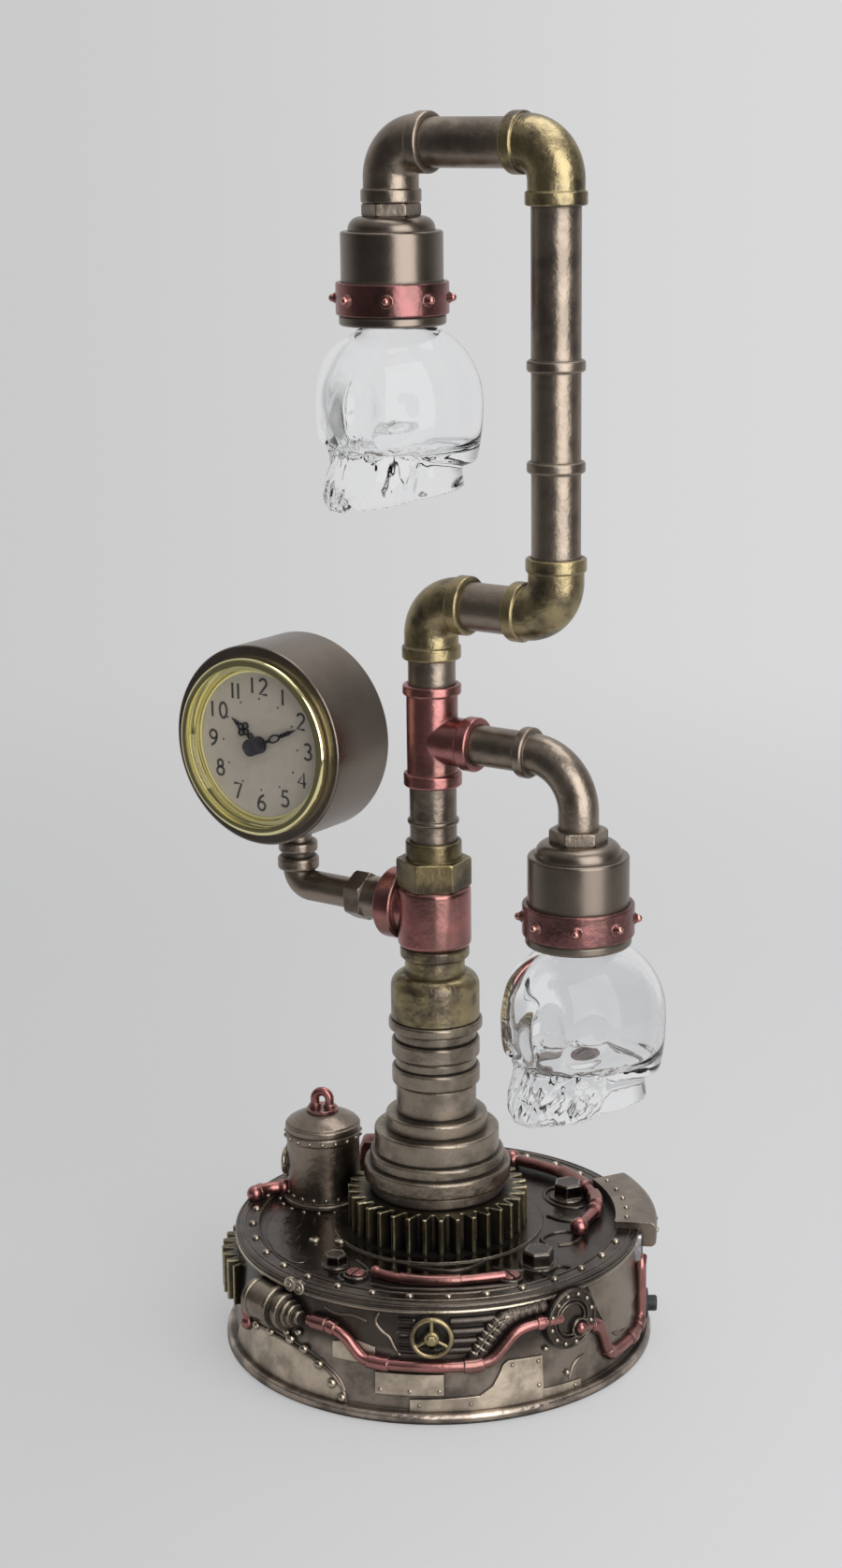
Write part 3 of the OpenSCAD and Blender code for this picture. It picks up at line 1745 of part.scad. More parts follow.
base_shell();
base_plate();
base_pad();
plate_screws();
battery_holder();
battery_cells();
battery_door();
switch_body();
switch_ring();
switch_button();
column_rod();
rod_nut();
big_gear();
column_steps();
column_bell();
foot_tee();
tee_nut();
post_pipe();
upper_tee();
post_stub();
low_left_elbow();
low_pipe();
low_right_elbow();
riser_pipe();
top_right_elbow();
top_pipe();
top_left_elbow();
upper_nut();
upper_holder();
upper_band();
upper_glass();
arm_pipe();
arm_bend();
lower_nut();
lower_holder();
lower_band();
lower_glass();
led_boards();
arm_nut();
clock_arm();
clock_upright();
clock_case();
clock_gasket();
clock_movement();
clock_bezel();
clock_lens();
clock_dial();
hour_hand();
minute_hand();
setting_knob();
side_gear();
canister();
wall_pipes();
wall_disc();
handwheel();
rim_cover();
boiler();
boiler_lid();
boiler_loop();
deck_fittings();
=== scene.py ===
# %% [markdown]
# # A pipe lamp with skull glasses and a clock
# The lamp is cast and turned metal with a rubbed antique finish: dark wash in the hollows, bright
# metal on the edges. The packed model gives every solid its place, so this lesson adds what a
# solid model leaves out: finishes, blown glass, the dial's printing, and the small relief of the base.

# %% Load the packed lamp
import math

import bmesh
import bpy
from mathutils import Matrix, Vector, noise


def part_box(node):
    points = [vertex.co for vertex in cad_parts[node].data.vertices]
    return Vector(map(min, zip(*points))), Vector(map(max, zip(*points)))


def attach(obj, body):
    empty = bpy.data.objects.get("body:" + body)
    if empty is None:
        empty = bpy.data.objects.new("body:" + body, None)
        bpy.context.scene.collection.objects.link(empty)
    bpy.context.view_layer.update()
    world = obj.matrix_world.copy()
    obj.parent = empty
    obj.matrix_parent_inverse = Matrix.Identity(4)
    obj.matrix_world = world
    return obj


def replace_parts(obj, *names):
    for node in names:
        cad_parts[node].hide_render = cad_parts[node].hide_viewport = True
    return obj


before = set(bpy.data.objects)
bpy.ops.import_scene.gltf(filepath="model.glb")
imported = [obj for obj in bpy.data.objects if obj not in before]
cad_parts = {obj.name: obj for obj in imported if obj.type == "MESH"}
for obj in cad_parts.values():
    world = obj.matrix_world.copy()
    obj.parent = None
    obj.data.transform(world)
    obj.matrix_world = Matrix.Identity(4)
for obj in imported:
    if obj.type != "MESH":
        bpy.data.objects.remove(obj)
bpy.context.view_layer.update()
MM = 0.001
scene = bpy.context.scene

# %% [markdown]
# ## The camera
# The photograph was fitted by its circles and upright lines. That gives the camera's place on a
# circle round the lamp, its height, and how far it looks down, so the render frames the lamp alike.

# %% Place the camera
CAMERA_TURN, CAMERA_DOWN, CAMERA_ROLL, CAMERA_PAN = (
    math.radians(d) for d in (34.876, 14.293, -0.689, 0.257)
)
CAMERA_AWAY, CAMERA_HEIGHT = 0.8996, 0.42895
FOCAL_PIXELS, FRAME_HEIGHT = 2936.1, 1676
SENSOR, NEAR, FAR = 36, 0.05, 20

heading = CAMERA_TURN + CAMERA_PAN
look = Vector((-math.sin(heading) * math.cos(CAMERA_DOWN),
               math.cos(heading) * math.cos(CAMERA_DOWN), -math.sin(CAMERA_DOWN)))
level = Vector((math.cos(heading), math.sin(heading), 0))
raised = level.cross(look)
across = math.cos(CAMERA_ROLL) * level + math.sin(CAMERA_ROLL) * raised
upward = math.cos(CAMERA_ROLL) * raised - math.sin(CAMERA_ROLL) * level
eye = Vector((CAMERA_AWAY * math.sin(CAMERA_TURN), -CAMERA_AWAY * math.cos(CAMERA_TURN), CAMERA_HEIGHT))

camera = bpy.data.objects.new("photo_camera", bpy.data.cameras.new("photo_camera"))
scene.collection.objects.link(camera)
camera.matrix_world = Matrix.Translation(eye) @ Matrix((across, upward, -look)).transposed().to_4x4()
camera.data.sensor_width = SENSOR
camera.data.lens = SENSOR * FOCAL_PIXELS / FRAME_HEIGHT
camera.data.clip_start, camera.data.clip_end = NEAR, FAR
scene.camera = camera
scene.view_settings.view_transform = "Standard"
print("lens in mm:", round(camera.data.lens, 1))

# %% [markdown]
# ## Shader sums
# A finish is a sum of masks: grain plus wear minus dirt. Written node by node such a sum is hard to
# read, so a wire here is a Python value: adding or multiplying two wires adds the Math node for it.
# One method makes every other node from its type, its settings and what goes into its sockets.

# %% Wires and node makers
class Wire:
    """A shader socket that can stand in a Python sum."""

    def __init__(self, bench, socket):
        self.bench, self.socket = bench, socket

    def _math(self, operation, first, second):
        return self.bench.node("ShaderNodeMath", {"operation": operation}, {0: first, 1: second})

    def __add__(self, other):
        return self._math("ADD", self, other)

    def __sub__(self, other):
        return self._math("SUBTRACT", self, other)

    def __rsub__(self, other):
        return self._math("SUBTRACT", other, self)

    def __mul__(self, other):
        return self._math("MULTIPLY", self, other)

    __radd__ = __add__
    __rmul__ = __mul__


class Bench:
    """A node tree with one method that adds any node."""

    def __init__(self, tree):
        self.tree = tree
        tree.nodes.clear()

    def node(self, kind, settings=None, inputs=None, out=0):
        made = self.tree.nodes.new(kind)
        for name, value in (settings or {}).items():
            if name == "stops":
                ramp = made.color_ramp.elements
                while len(ramp) < len(value):
                    ramp.new(0.5)
                for stop, (place, colour) in zip(ramp, value):
                    stop.position, stop.color = place, colour
            else:
                setattr(made, name, value)
        for name, value in (inputs or {}).items():
            if isinstance(value, Wire):
                self.tree.links.new(value.socket, made.inputs[name])
            else:
                made.inputs[name].default_value = value
        return Wire(self, made.outputs[out]) if made.outputs else None

    def blend(self, first, second, share):
        """A colour between two others."""
        return self.node("ShaderNodeMix", {"data_type": "RGBA"}, {0: share, 6: first, 7: second}, out=2)

    def spread(self, value, low, high, to_low=0.0, to_high=1.0):
        """A value's range, stretched to another range with soft ends."""
        settings = {"interpolation_type": "SMOOTHSTEP"}
        return self.node("ShaderNodeMapRange", settings, {0: value, 1: low, 2: high, 3: to_low, 4: to_high})

    def vector(self, operation, first, second=(0, 0, 0), out="Value"):
        """A sum on vectors; its answer is a number unless another output is named."""
        return self.node("ShaderNodeVectorMath", {"operation": operation}, {0: first, 1: second}, out)


def rgb(red, green, blue):
    return (red, green, blue, 1.0)


print("wires ready")

# %% [markdown]
# ## The studio
# Each upright pipe has one broad bright streak right of its middle and is dark on its left. A streak
# there means a wide soft box that stands from the camera round to the right, in a dim room. So the
# world is pale behind the lamp and dim elsewhere for what the surfaces mirror. What shines through the
# glass is paler all round, apart from the far left, so that the faces stay clear. For the camera itself
# the world is a pale sweep that brightens a little towards the right.

# %% Light the studio
BACKDROP = 0.635
world = bpy.data.worlds.new("studio")
scene.world = world
world.use_nodes = True
room = Bench(world.node_tree)
towards = room.node("ShaderNodeTexCoord", out="Generated")
ahead = room.vector("DOT_PRODUCT", towards, look)
sideways = room.vector("DOT_PRODUCT", towards, level)
height = room.node("ShaderNodeSeparateXYZ", inputs={0: towards}, out="Z")
in_metal = room.spread(ahead, -0.2, 0.85, 0.08, BACKDROP) + room.spread(height, 0.3, 0.95, 0.0, 0.3)
pale_room = room.spread(ahead, -0.9, 0.4, 0.55, BACKDROP + 0.08)
in_glass = pale_room * room.spread(sideways, -0.95, -0.5, 0.45)
in_view = room.spread(sideways, -0.2, 0.2, BACKDROP - 0.045, BACKDROP + 0.065)
shown = room.node("ShaderNodeBackground", inputs={0: rgb(0.98, 0.99, 1.0), 1: 0.42})
SEEN_BY = {"Is Glossy Ray": in_metal, "Is Transmission Ray": in_glass, "Is Camera Ray": in_view}
COOL = 1.01
for ray, pale in SEEN_BY.items():
    tone = room.node("ShaderNodeCombineColor", inputs={0: pale, 1: pale, 2: pale * COOL})
    paper_seen = room.node("ShaderNodeBackground", inputs={0: tone, 1: 1.0})
    of_kind = room.node("ShaderNodeLightPath", out=ray)
    shown = room.node("ShaderNodeMixShader", inputs={0: of_kind, 1: shown, 2: paper_seen})
room.node("ShaderNodeOutputWorld", inputs={0: shown})


def soft_box(name, place, aim, size, watts):
    """A soft rectangular lamp that faces a point."""
    lamp = bpy.data.lights.new(name, "AREA")
    lamp.shape, lamp.size, lamp.size_y, lamp.energy = "RECTANGLE", size[0], size[1], watts
    holder = bpy.data.objects.new(name, lamp)
    scene.collection.objects.link(holder)
    holder.location = place
    holder.visible_transmission = False
    holder.rotation_mode = "QUATERNION"
    holder.rotation_quaternion = (Vector(aim) - Vector(place)).to_track_quat("-Z", "Y")


soft_box("soft_wall", (1.19, -0.53, 0.62), (0, 0, 0.25), (1.3, 1.8), 24)
soft_box("top_light", (0.1, 0.3, 1.7), (0, 0, 0.2), (1.2, 1.2), 12)

# %% [markdown]
# ## The table
# The pale table has no edge in view. A wide disc that fades out towards its edge carries the lamp's
# soft shadow and melts into the backdrop, from every side. In the metal it ends sooner and lies a little
# to the right, because the real sheet is small and the pipes mirror the dim room beyond it.

# %% Lay the table
TABLE_RADIUS, TABLE_SIDES, TO_RIGHT = 1.8, 96, 0.1


def new_finish(name):
    """A material and the bench for its nodes."""
    finish = bpy.data.materials.new(name)
    finish.use_nodes = True
    return finish, Bench(finish.node_tree)


table_mesh = bpy.data.meshes.new("table")
board = bmesh.new()
bmesh.ops.create_circle(board, cap_ends=True, segments=TABLE_SIDES, radius=TABLE_RADIUS)
board.to_mesh(table_mesh)
board.free()
table = bpy.data.objects.new("table", table_mesh)
scene.collection.objects.link(table)
table_finish, paper = new_finish("table_paper")
spot = paper.node("ShaderNodeTexCoord", out="Object")
moved_spot = paper.vector("SUBTRACT", spot, level * TO_RIGHT, out=0)
by_metal = paper.node("ShaderNodeLightPath", out="Is Glossy Ray")
seen_fade = paper.spread(paper.vector("LENGTH", spot), 0.35, 1.2, 0.6)
metal_fade = paper.spread(paper.vector("LENGTH", moved_spot), 0.36, 0.72)
fade = seen_fade + (metal_fade - seen_fade) * by_metal
sheet = paper.node("ShaderNodeBsdfDiffuse", inputs={0: rgb(0.56, 0.56, 0.566)})
gone = paper.node("ShaderNodeBsdfTransparent")
mixed = paper.node("ShaderNodeMixShader", inputs={0: fade, 1: sheet, 2: gone})
paper.node("ShaderNodeOutputMaterial", inputs={0: mixed})
table_mesh.materials.append(table_finish)
print("table radius in m:", TABLE_RADIUS)

# %% [markdown]
# ## Antique metal
# Every metal on the lamp is rubbed: a dark wash stays in the hollows, the open faces keep a mottled
# tone, and the edges are polished by hand. Ambient occlusion finds the hollows. A bevelled normal
# that differs from the true one finds the edges, and it also rounds them in the light.

# %% Make an antique metal
def antique(name, metal, wash, bright, roughness, hollow=3.0, dirt=0.85, patch=0.5, edge=0.85, rub=0.5,
            dents=0.3, height_tones_and_painted_highlight=()):
    """A rubbed metal.

    hollow is how far the wash reaches from a corner and rub how wide an edge is polished, both in
    millimetres; dirt, patch, edge and dents are how much wash, stain, polish and unevenness shows;
    the last argument holds (height in millimetres, share) pairs that lighten or darken it by height; on the
    drum they give its tones and a painted highlight on the foot flange.
    """
    finish, pot = new_finish(name)
    place = pot.node("ShaderNodeTexCoord", out="Object")
    clouds, waves, grain = (
        pot.node("ShaderNodeTexNoise", inputs={
            "Vector": place, "Scale": scale, "Detail": detail, "Roughness": 0.6})
        for scale, detail in ((70, 6), (160, 3), (900, 3)))
    open_air = pot.node("ShaderNodeAmbientOcclusion", {"samples": 6}, {"Distance": hollow * MM}, out="AO")
    rounded = pot.node("ShaderNodeBevel", {"samples": 4}, {"Radius": rub * MM})
    facing = pot.node("ShaderNodeNewGeometry", out="Normal")
    same = pot.vector("DOT_PRODUCT", rounded, facing)

    corner = pot.spread(open_air + (clouds - 0.5) * 0.35, 0.35, 0.92, 1.0, 0.0)
    worn = pot.spread(same, 0.86, 0.995, 1.0, 0.0) * (1 - corner) * pot.spread(grain, 0.3, 0.6, 0.4, 1.0)
    tone = rgb(*metal)
    # Tone by height; on the drum the high share at the foot is a painted highlight, not the metal's own tone.
    if height_tones_and_painted_highlight:
        top = height_tones_and_painted_highlight[-1][0]
        level_up = pot.node("ShaderNodeSeparateXYZ", inputs={0: place}, out="Z") * (1 / (top * MM))
        stops = [(h / top, rgb(*(c * share for c in metal))) for h, share in height_tones_and_painted_highlight]
        tone = pot.node("ShaderNodeValToRGB", {"stops": stops}, {0: level_up})
    stain = rgb(metal[0] * 0.3, metal[0] * 0.24, metal[0] * 0.19)
    face = pot.blend(tone, stain, pot.spread(clouds, 0.36, 0.58, patch, 0.0))
    face = pot.blend(face, stain, pot.spread(grain, 0.6, 0.76) * 0.4 * patch)
    face = pot.blend(face, rgb(*wash), corner * dirt)
    face = pot.blend(face, rgb(*bright), worn * edge)
    rough = roughness + (clouds - 0.5) * 0.25 + corner * 0.2 - worn * 0.08
    relief = (waves + clouds) * dents * 4 + grain * 0.12
    bumped = pot.node("ShaderNodeBump", inputs={
        "Strength": 0.35, "Distance": 0.5 * MM, "Height": relief, "Normal": rounded})
    skin = pot.node("ShaderNodeBsdfPrincipled", inputs={
        "Base Color": face, "Roughness": rough, "Metallic": 1 - corner * 0.45, "Normal": bumped})
    pot.node("ShaderNodeOutputMaterial", inputs={0: skin})
    return finish


print("antique metal ready")

# %% [markdown]
# ## The lamp's metals
# Pipes, holders and drum are bronze, the bell and most elbows are brass, and tees and thin pipes are copper.
# Each was washed and rubbed by a different amount, so one shader with a few settings makes them all. The drum
# also changes by height: it is paler low down, its foot flange carries a painted highlight, and a dark band
# lies below the rim.

# %% Mix the metals
BLACK_WASH = (0.012, 0.0095, 0.008)
BRASS_WASH = (0.02, 0.016, 0.009)
COPPER_WASH = (0.02, 0.008, 0.007)
bronze = antique("rubbed_bronze", (0.31, 0.254, 0.205), BLACK_WASH, (0.62, 0.53, 0.42), 0.33,
                 patch=0.45, dents=0.45)
column_bronze = antique("column_bronze", (0.315, 0.262, 0.205), BLACK_WASH, (0.8, 0.7, 0.52), 0.26,
                        hollow=5.0, dirt=0.97, patch=0.6, edge=1.0, rub=0.7)
pale_bronze = antique("pale_bronze", (0.65, 0.55, 0.43), BLACK_WASH, (0.82, 0.7, 0.55), 0.36,
                      hollow=4, dirt=0.95, patch=0.6, dents=0.4)
bright_bronze = antique("bright_bronze", (0.52, 0.445, 0.35), BLACK_WASH, (0.85, 0.76, 0.62), 0.2,
                        hollow=1.2)
smooth_bronze = antique("sprayed_bronze", (0.215, 0.178, 0.147), BLACK_WASH, (0.42, 0.36, 0.3), 0.3,
                        hollow=1.5, dirt=0.6, patch=0.1, edge=0.5, dents=0.0)
dark_bronze = antique("washed_bronze", (0.095, 0.078, 0.066), BLACK_WASH, (0.66, 0.56, 0.44), 0.22,
                      hollow=4.0, patch=0.5, edge=1.0, rub=0.6)
# The drum's foot flange share of 5.5 is a painted highlight. It stands for the bright reflection the flange
# would show, where it mirrors the table in the lamp's shadow.
drum_bronze = antique("drum_bronze", (0.1, 0.083, 0.069), BLACK_WASH, (0.7, 0.6, 0.46), 0.23,
                      hollow=7.0, dirt=0.95, patch=0.6, edge=1.0, rub=0.7,
                      height_tones_and_painted_highlight=[(0, 5.5), (4.3, 5.5), (4.7, 3.1), (22, 2.9), (26, 0.8), (38, 0.8),
                             (38.5, 1.1), (40.2, 1.1), (40.6, 0.9), (41.6, 0.9), (41.8, 1.2), (42, 1.2)])
black_bronze = antique("black_bronze", (0.085, 0.072, 0.064), BLACK_WASH, (0.6, 0.52, 0.42), 0.24,
                       hollow=2, rub=0.7)
brass = antique("rubbed_brass", (0.36, 0.292, 0.16), BRASS_WASH, (0.8, 0.67, 0.34), 0.33,
                patch=1.0, dents=0.7)
nut_brass = antique("nut_brass", (0.24, 0.19, 0.1), BRASS_WASH, (0.8, 0.67, 0.34), 0.3,
                    hollow=4.0, patch=1.0, edge=1.0, rub=0.7, dents=0.4)
gear_brass = antique("gear_brass", (0.11, 0.09, 0.048), (0.006, 0.005, 0.004), (0.95, 0.84, 0.54), 0.3,
                     hollow=5.0, dirt=0.97, patch=0.6, edge=1.0, rub=0.9)
copper = antique("lacquered_copper", (0.42, 0.178, 0.166), COPPER_WASH, (0.72, 0.4, 0.36), 0.26,
                 hollow=2.0, patch=0.5, dents=0.2)
bright_copper = antique("bright_copper", (0.6, 0.28, 0.235), COPPER_WASH, (0.9, 0.55, 0.45), 0.17,
                        hollow=1.0, patch=0.2, dents=0.1)
dark_copper = antique("smoked_copper", (0.27, 0.12, 0.117), (0.014, 0.007, 0.007), (0.72, 0.36, 0.32), 0.27,
                      hollow=1.5, patch=0.6)
print("metals:", [m.name for m in bpy.data.materials])

# %% [markdown]
# ## The other finishes
# The bezel is polished and plated. The dial is printed paper, the switch is satin plastic, and the
# glasses are clear. Under and inside the base are felt, zinc-plated steel and plain plastic. These are
# plain materials, so one shader with a fine grain serves them, and clear glass has a shader of its own
# that lets lamp light through to what stands behind it.

# %% Make the other finishes
def plain_finish(name, colour, roughness, metallic=0.0, fleck=0.12, scale=600, coat=0.0, bump=0.1):
    """A finish whose tone and roughness drift a little, with a fine grain."""
    finish, pot = new_finish(name)
    place = pot.node("ShaderNodeTexCoord", out="Object")
    grain = pot.node("ShaderNodeTexNoise", inputs={"Vector": place, "Scale": scale, "Detail": 4})
    drift = pot.node("ShaderNodeTexNoise", inputs={"Vector": place, "Scale": scale / 12, "Detail": 3})
    dim = tuple(c * (1 - 2 * fleck) for c in colour)
    tone = pot.blend(rgb(*dim), rgb(*colour), pot.spread(grain * 0.6 + drift * 0.4, 0.35, 0.65))
    bumped = pot.node("ShaderNodeBump", inputs={"Strength": bump, "Distance": 0.1 * MM, "Height": grain})
    skin = pot.node("ShaderNodeBsdfPrincipled", inputs={
        "Base Color": tone, "Roughness": roughness + (drift - 0.5) * 0.2 * (roughness + 0.1),
        "Metallic": metallic, "Coat Weight": coat, "Normal": bumped})
    pot.node("ShaderNodeOutputMaterial", inputs={0: skin})
    return finish


def clear_glass(name, tint):
    """Clear blown glass with a trace of waviness."""
    finish, pot = new_finish(name)
    place = pot.node("ShaderNodeTexCoord", out="Object")
    waves = pot.node("ShaderNodeTexNoise", inputs={"Vector": place, "Scale": 120, "Detail": 2})
    tone = pot.blend(rgb(*tint), rgb(1, 1, 1), pot.spread(waves, 0.3, 0.7))
    bumped = pot.node("ShaderNodeBump", inputs={"Strength": 0.12, "Distance": 0.2 * MM, "Height": waves})
    skin = pot.node("ShaderNodeBsdfPrincipled", inputs={
        "Base Color": tone, "Roughness": 0.0, "IOR": 1.48, "Transmission Weight": 1.0,
        "Specular Tint": rgb(0.4, 0.4, 0.4), "Normal": bumped})
    lets_light_by = pot.node("ShaderNodeLightPath", out="Is Shadow Ray") * 0.85
    clear = pot.node("ShaderNodeBsdfTransparent")
    both = pot.node("ShaderNodeMixShader", inputs={0: lets_light_by, 1: skin, 2: clear})
    pot.node("ShaderNodeOutputMaterial", inputs={0: both})
    return finish


glass = clear_glass("blown_glass", (0.985, 0.995, 0.996))
lens_glass = clear_glass("lens_glass", (0.98, 0.985, 0.98))
gold = plain_finish("plated_gold", (0.92, 0.84, 0.44), 0.07, metallic=1.0, fleck=0.02, bump=0.0)
dial_paper = plain_finish("dial_paper", (0.42, 0.375, 0.315), 0.6, fleck=0.04, scale=300, bump=0.05)
ink = plain_finish("dial_ink", (0.035, 0.03, 0.028), 0.5, fleck=0.2)
blued = plain_finish("blued_steel", (0.035, 0.035, 0.045), 0.32, metallic=0.5, fleck=0.2)
black_plastic = plain_finish("black_plastic", (0.018, 0.018, 0.02), 0.42, fleck=0.15)
rubber = plain_finish("black_rubber", (0.02, 0.02, 0.02), 0.7, fleck=0.2)
zinc = plain_finish("zinc_steel", (0.6, 0.6, 0.62), 0.34, metallic=1.0)
plate_black = plain_finish("plate_black", (0.05, 0.05, 0.05), 0.5, fleck=0.2, bump=0.3)
felt = plain_finish("green_felt", (0.045, 0.06, 0.045), 0.95, fleck=0.3, scale=2500, bump=0.9)
cell_wrap = plain_finish("cell_wrap", (0.5, 0.36, 0.1), 0.3, coat=0.5)
board_white = plain_finish("board_white", (0.78, 0.78, 0.75), 0.4, coat=0.3)
print("finishes:", len(bpy.data.materials))

# %% [markdown]
# ## Finishing the solids
# The solid model is right for every turned and cast piece, so each one keeps its shape and only
# gets its finish. A node that the table leaves out would show up in the print.

# %% Give each solid its finish
FINISH_OF = {
    bronze: "post_pipe post_stub low_pipe riser_pipe top_pipe top_left_elbow arm_pipe arm_bend "
            "arm_nut clock_arm clock_upright upper_nut lower_nut rim_cover boiler boiler_lid",
    column_bronze: "column_steps canister",
    smooth_bronze: "upper_holder lower_holder clock_case",
    dark_bronze: "wall_disc",
    drum_bronze: "base_shell",
    brass: "column_bell low_left_elbow low_right_elbow top_right_elbow handwheel",
    nut_brass: "tee_nut",
    gear_brass: "big_gear side_gear",
    copper: "foot_tee upper_tee wall_pipes boiler_loop deck_fittings",
    dark_copper: "upper_band lower_band",
    glass: "upper_glass lower_glass",
    lens_glass: "clock_lens",
    gold: "clock_bezel",
    dial_paper: "clock_dial",
    blued: "hour_hand minute_hand",
    black_plastic: "switch_body switch_ring switch_button battery_holder clock_movement setting_knob",
    rubber: "clock_gasket",
    zinc: "column_rod rod_nut plate_screws",
    plate_black: "base_plate battery_door",
    felt: "base_pad",
    cell_wrap: "battery_cells",
    board_white: "led_boards",
}
for finish, names in FINISH_OF.items():
    for name in names.split():
        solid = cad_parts[name].data
        solid.materials.clear()
        solid.materials.append(finish)
listed = {n for names in FINISH_OF.values() for n in names.split()}
print("solids without a finish:", sorted(set(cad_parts) - listed))

# %% [markdown]
# ## Tools for small pieces
# The relief of the base is turned, bent from round bar, riveted, or cut from sheet and wrapped on the
# drum. A shape collects the points and faces of such work in millimetres, and one call turns it
# into a piece that rides on a body of the lamp.

# %% Turned, bent and swept work
class Shape:
    """Points and faces of one piece, in millimetres."""

    def __init__(self):
        self.points, self.faces = [], []

    def skin(self, rows, caps=True):
        """Joins closed rows of equally many points; caps fills the two end rows."""
        first, wide = len(self.points), len(rows[0])
        self.points += [Vector(p) for row in rows for p in row]
        for j in range(len(rows) - 1):
            for i in range(wide):
                a, b = first + j * wide + i, first + j * wide + (i + 1) % wide
                self.faces.append((a, b, b + wide, a + wide))
        if caps:
            last = first + (len(rows) - 1) * wide
            self.faces.append(tuple(first + i for i in reversed(range(wide))))
            self.faces.append(tuple(last + i for i in range(wide)))
        return self

    def turned(self, profile, place=Matrix(), sides=32, caps=True):
        """A turned piece from (radius, height) pairs, set at a place."""
        spokes = [2 * math.pi * i / sides for i in range(sides)]
        return self.skin([[place @ Vector((r * math.cos(s), r * math.sin(s), h)) for s in spokes]
                          for r, h in profile], caps=caps)

    def bent(self, path, radius, sides=14):
        """Round bar of one radius along a path."""
        points = [Vector(p) for p in path]
        heading = points[1] - points[0]
        side = heading.orthogonal().normalized()
        rows = []
        for i, point in enumerate(points):
            heading = (points[min(i + 1, len(points) - 1)] - points[max(i - 1, 0)]).normalized()
            side = (side - side.dot(heading) * heading).normalized()
            other = heading.cross(side)
            spokes = [2 * math.pi * k / sides for k in range(sides)]
            rows.append([point + radius * (math.cos(s) * side + math.sin(s) * other) for s in spokes])
        return self.skin(rows)

    def rivet(self, place, radius, height):
        """A domed rivet head that stands on a place."""
        dome = [(radius, -0.3), (radius, 0.15 * height), (0.9 * radius, 0.55 * height),
                (0.6 * radius, 0.87 * height), (0.12 * radius, height)]
        return self.turned(dome, place, sides=12)

    def ball(self, centre, radius):
        """A round ball with a small flat at each pole."""
        rises = [math.radians(-86 + 172 * i / 10) for i in range(11)]
        return self.turned([(radius * math.cos(a), radius * math.sin(a)) for a in rises],
                           Matrix.Translation(centre), sides=20)


print("ways to work:", [way for way in vars(Shape) if not way.startswith("_")])

# %% Make a piece from a shape
def make(name, shape, finish, body="frame", crease=40):
    """Turns a shape into a piece of the lamp; edges sharper than crease, in degrees, stay sharp."""
    mesh = bpy.data.meshes.new(name)
    mesh.from_pydata([p * MM for p in shape.points], [], shape.faces)
    mesh.shade_smooth()
    mesh.set_sharp_from_angle(angle=math.radians(crease))
    mesh.materials.append(finish)
    made = bpy.data.objects.new(name, mesh)
    scene.collection.objects.link(made)
    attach(made, body)
    print(name, len(mesh.polygons), "faces")
    return made


def arc(centre, radii, start, end, steps=16):
    """Points on an ellipse between two angles in degrees."""
    turns = [math.radians(start + (end - start) * i / steps) for i in range(steps + 1)]
    return [(centre[0] + radii[0] * math.cos(t), centre[1] + radii[1] * math.sin(t)) for t in turns]


print("points on a quarter round:", len(arc((0, 0), (1, 1), 0, 90)))

# %% [markdown]
# ## The skull glasses
# Each glass is blown into a skull-shaped mould: the crown is a thin bubble and the face and jaw are
# almost solid, which is why they sparkle. Sculpting by hand would differ each time, so both skins are
# heights above a ball, described by direction: dents for the eye sockets and nose, swellings for brow,
# cheekbones and jaw, and grooves for the teeth.

# %% Describe the face
HEAD_WIDE, HEAD_DEEP, HEAD_TALL, HEAD_BACK, HEAD_DROP = 45, 57, 59.5, 2, 26
NECK_RADIUS, NECK_LENGTH, GLASS_WALL, HOLLOW_DROP = 9.8, 9, 2.0, 15
FACE_TURN = math.radians(-33)
# Each feature is a height, its turn from the nose, its rise, and how wide and tall it is in degrees.
SOCKET = (-5.0, 36, 0, 14, 25)
FEATURES = [
    (1.2, 0, 36, 50, 16), (-5.0, 0, -34, 34, 8), (-2.0, 0, -24, 6, 9), (2.0, 64, -16, 14, 6),
    (-2.4, 64, -38, 18, 8), (5.0, 0, -53, 36, 10), (2.0, 60, -54, 16, 10), (-2.5, 92, -54, 8, 14),
    (-2.2, 72, 3, 12, 14), (-5.0, 180, -46, 70, 6),
]


def swelling(turn, rise, height, at_turn, at_rise, wide, tall, crisp=1):
    """A soft bump or dent on both sides of the face; crisp makes its edge steeper."""
    off = ((abs(turn) - at_turn) / wide) ** 2 + ((rise - at_rise) / tall) ** 2
    return height * math.exp(-off ** crisp)


TOOTH_WIDE, TOOTH_DEEP, TEETH_RISE, BITE_RISE = 8.5, 0.5, -43, -44
LUMP_BROAD, LUMP_FINE = 1.8, 0.6


def teeth(turn, rise):
    """Grooves between the teeth, and the line where the two rows meet."""
    window = math.exp(-(turn / 44) ** 4 - ((rise - TEETH_RISE) / 6) ** 4)
    upright = math.cos(math.radians(turn * 180 / TOOTH_WIDE)) ** 6
    level_line = math.exp(-((rise - BITE_RISE + 0.0012 * turn * turn) / 1.3) ** 2)
    return -TOOTH_DEEP * window * max(upright, level_line)


def bone(turn, rise):
    """Small lumps on the jaw."""
    window = math.exp(-(turn / 100) ** 4 - ((rise - TEETH_RISE) / 14) ** 4)
    broad, fine = (noise.noise(Vector((turn / s, rise / s * 1.5, 0.3))) for s in (11, 4.5))
    return window * (LUMP_BROAD * broad + LUMP_FINE * fine)


print("features on the face:", len(FEATURES) + 1)

# %% Describe both skins
def plain_head(turn, rise):
    """Distance from the head's centre to a smooth head without a face."""
    low = max(0.0, -math.sin(rise))
    power = 2 + 0.7 * low
    top = HEAD_DROP + 2 if rise > 0 else (HEAD_TALL - HEAD_DROP) * 1.22
    sizes = (HEAD_WIDE / 2 * (1 - 0.22 * low * low), HEAD_DEEP / 2 * (1 - 0.06 * low), top)
    way = (math.sin(turn) * math.cos(rise), math.cos(turn) * math.cos(rise), math.sin(rise))
    return sum(abs(w / s) ** power for w, s in zip(way, sizes)) ** (-1 / power)


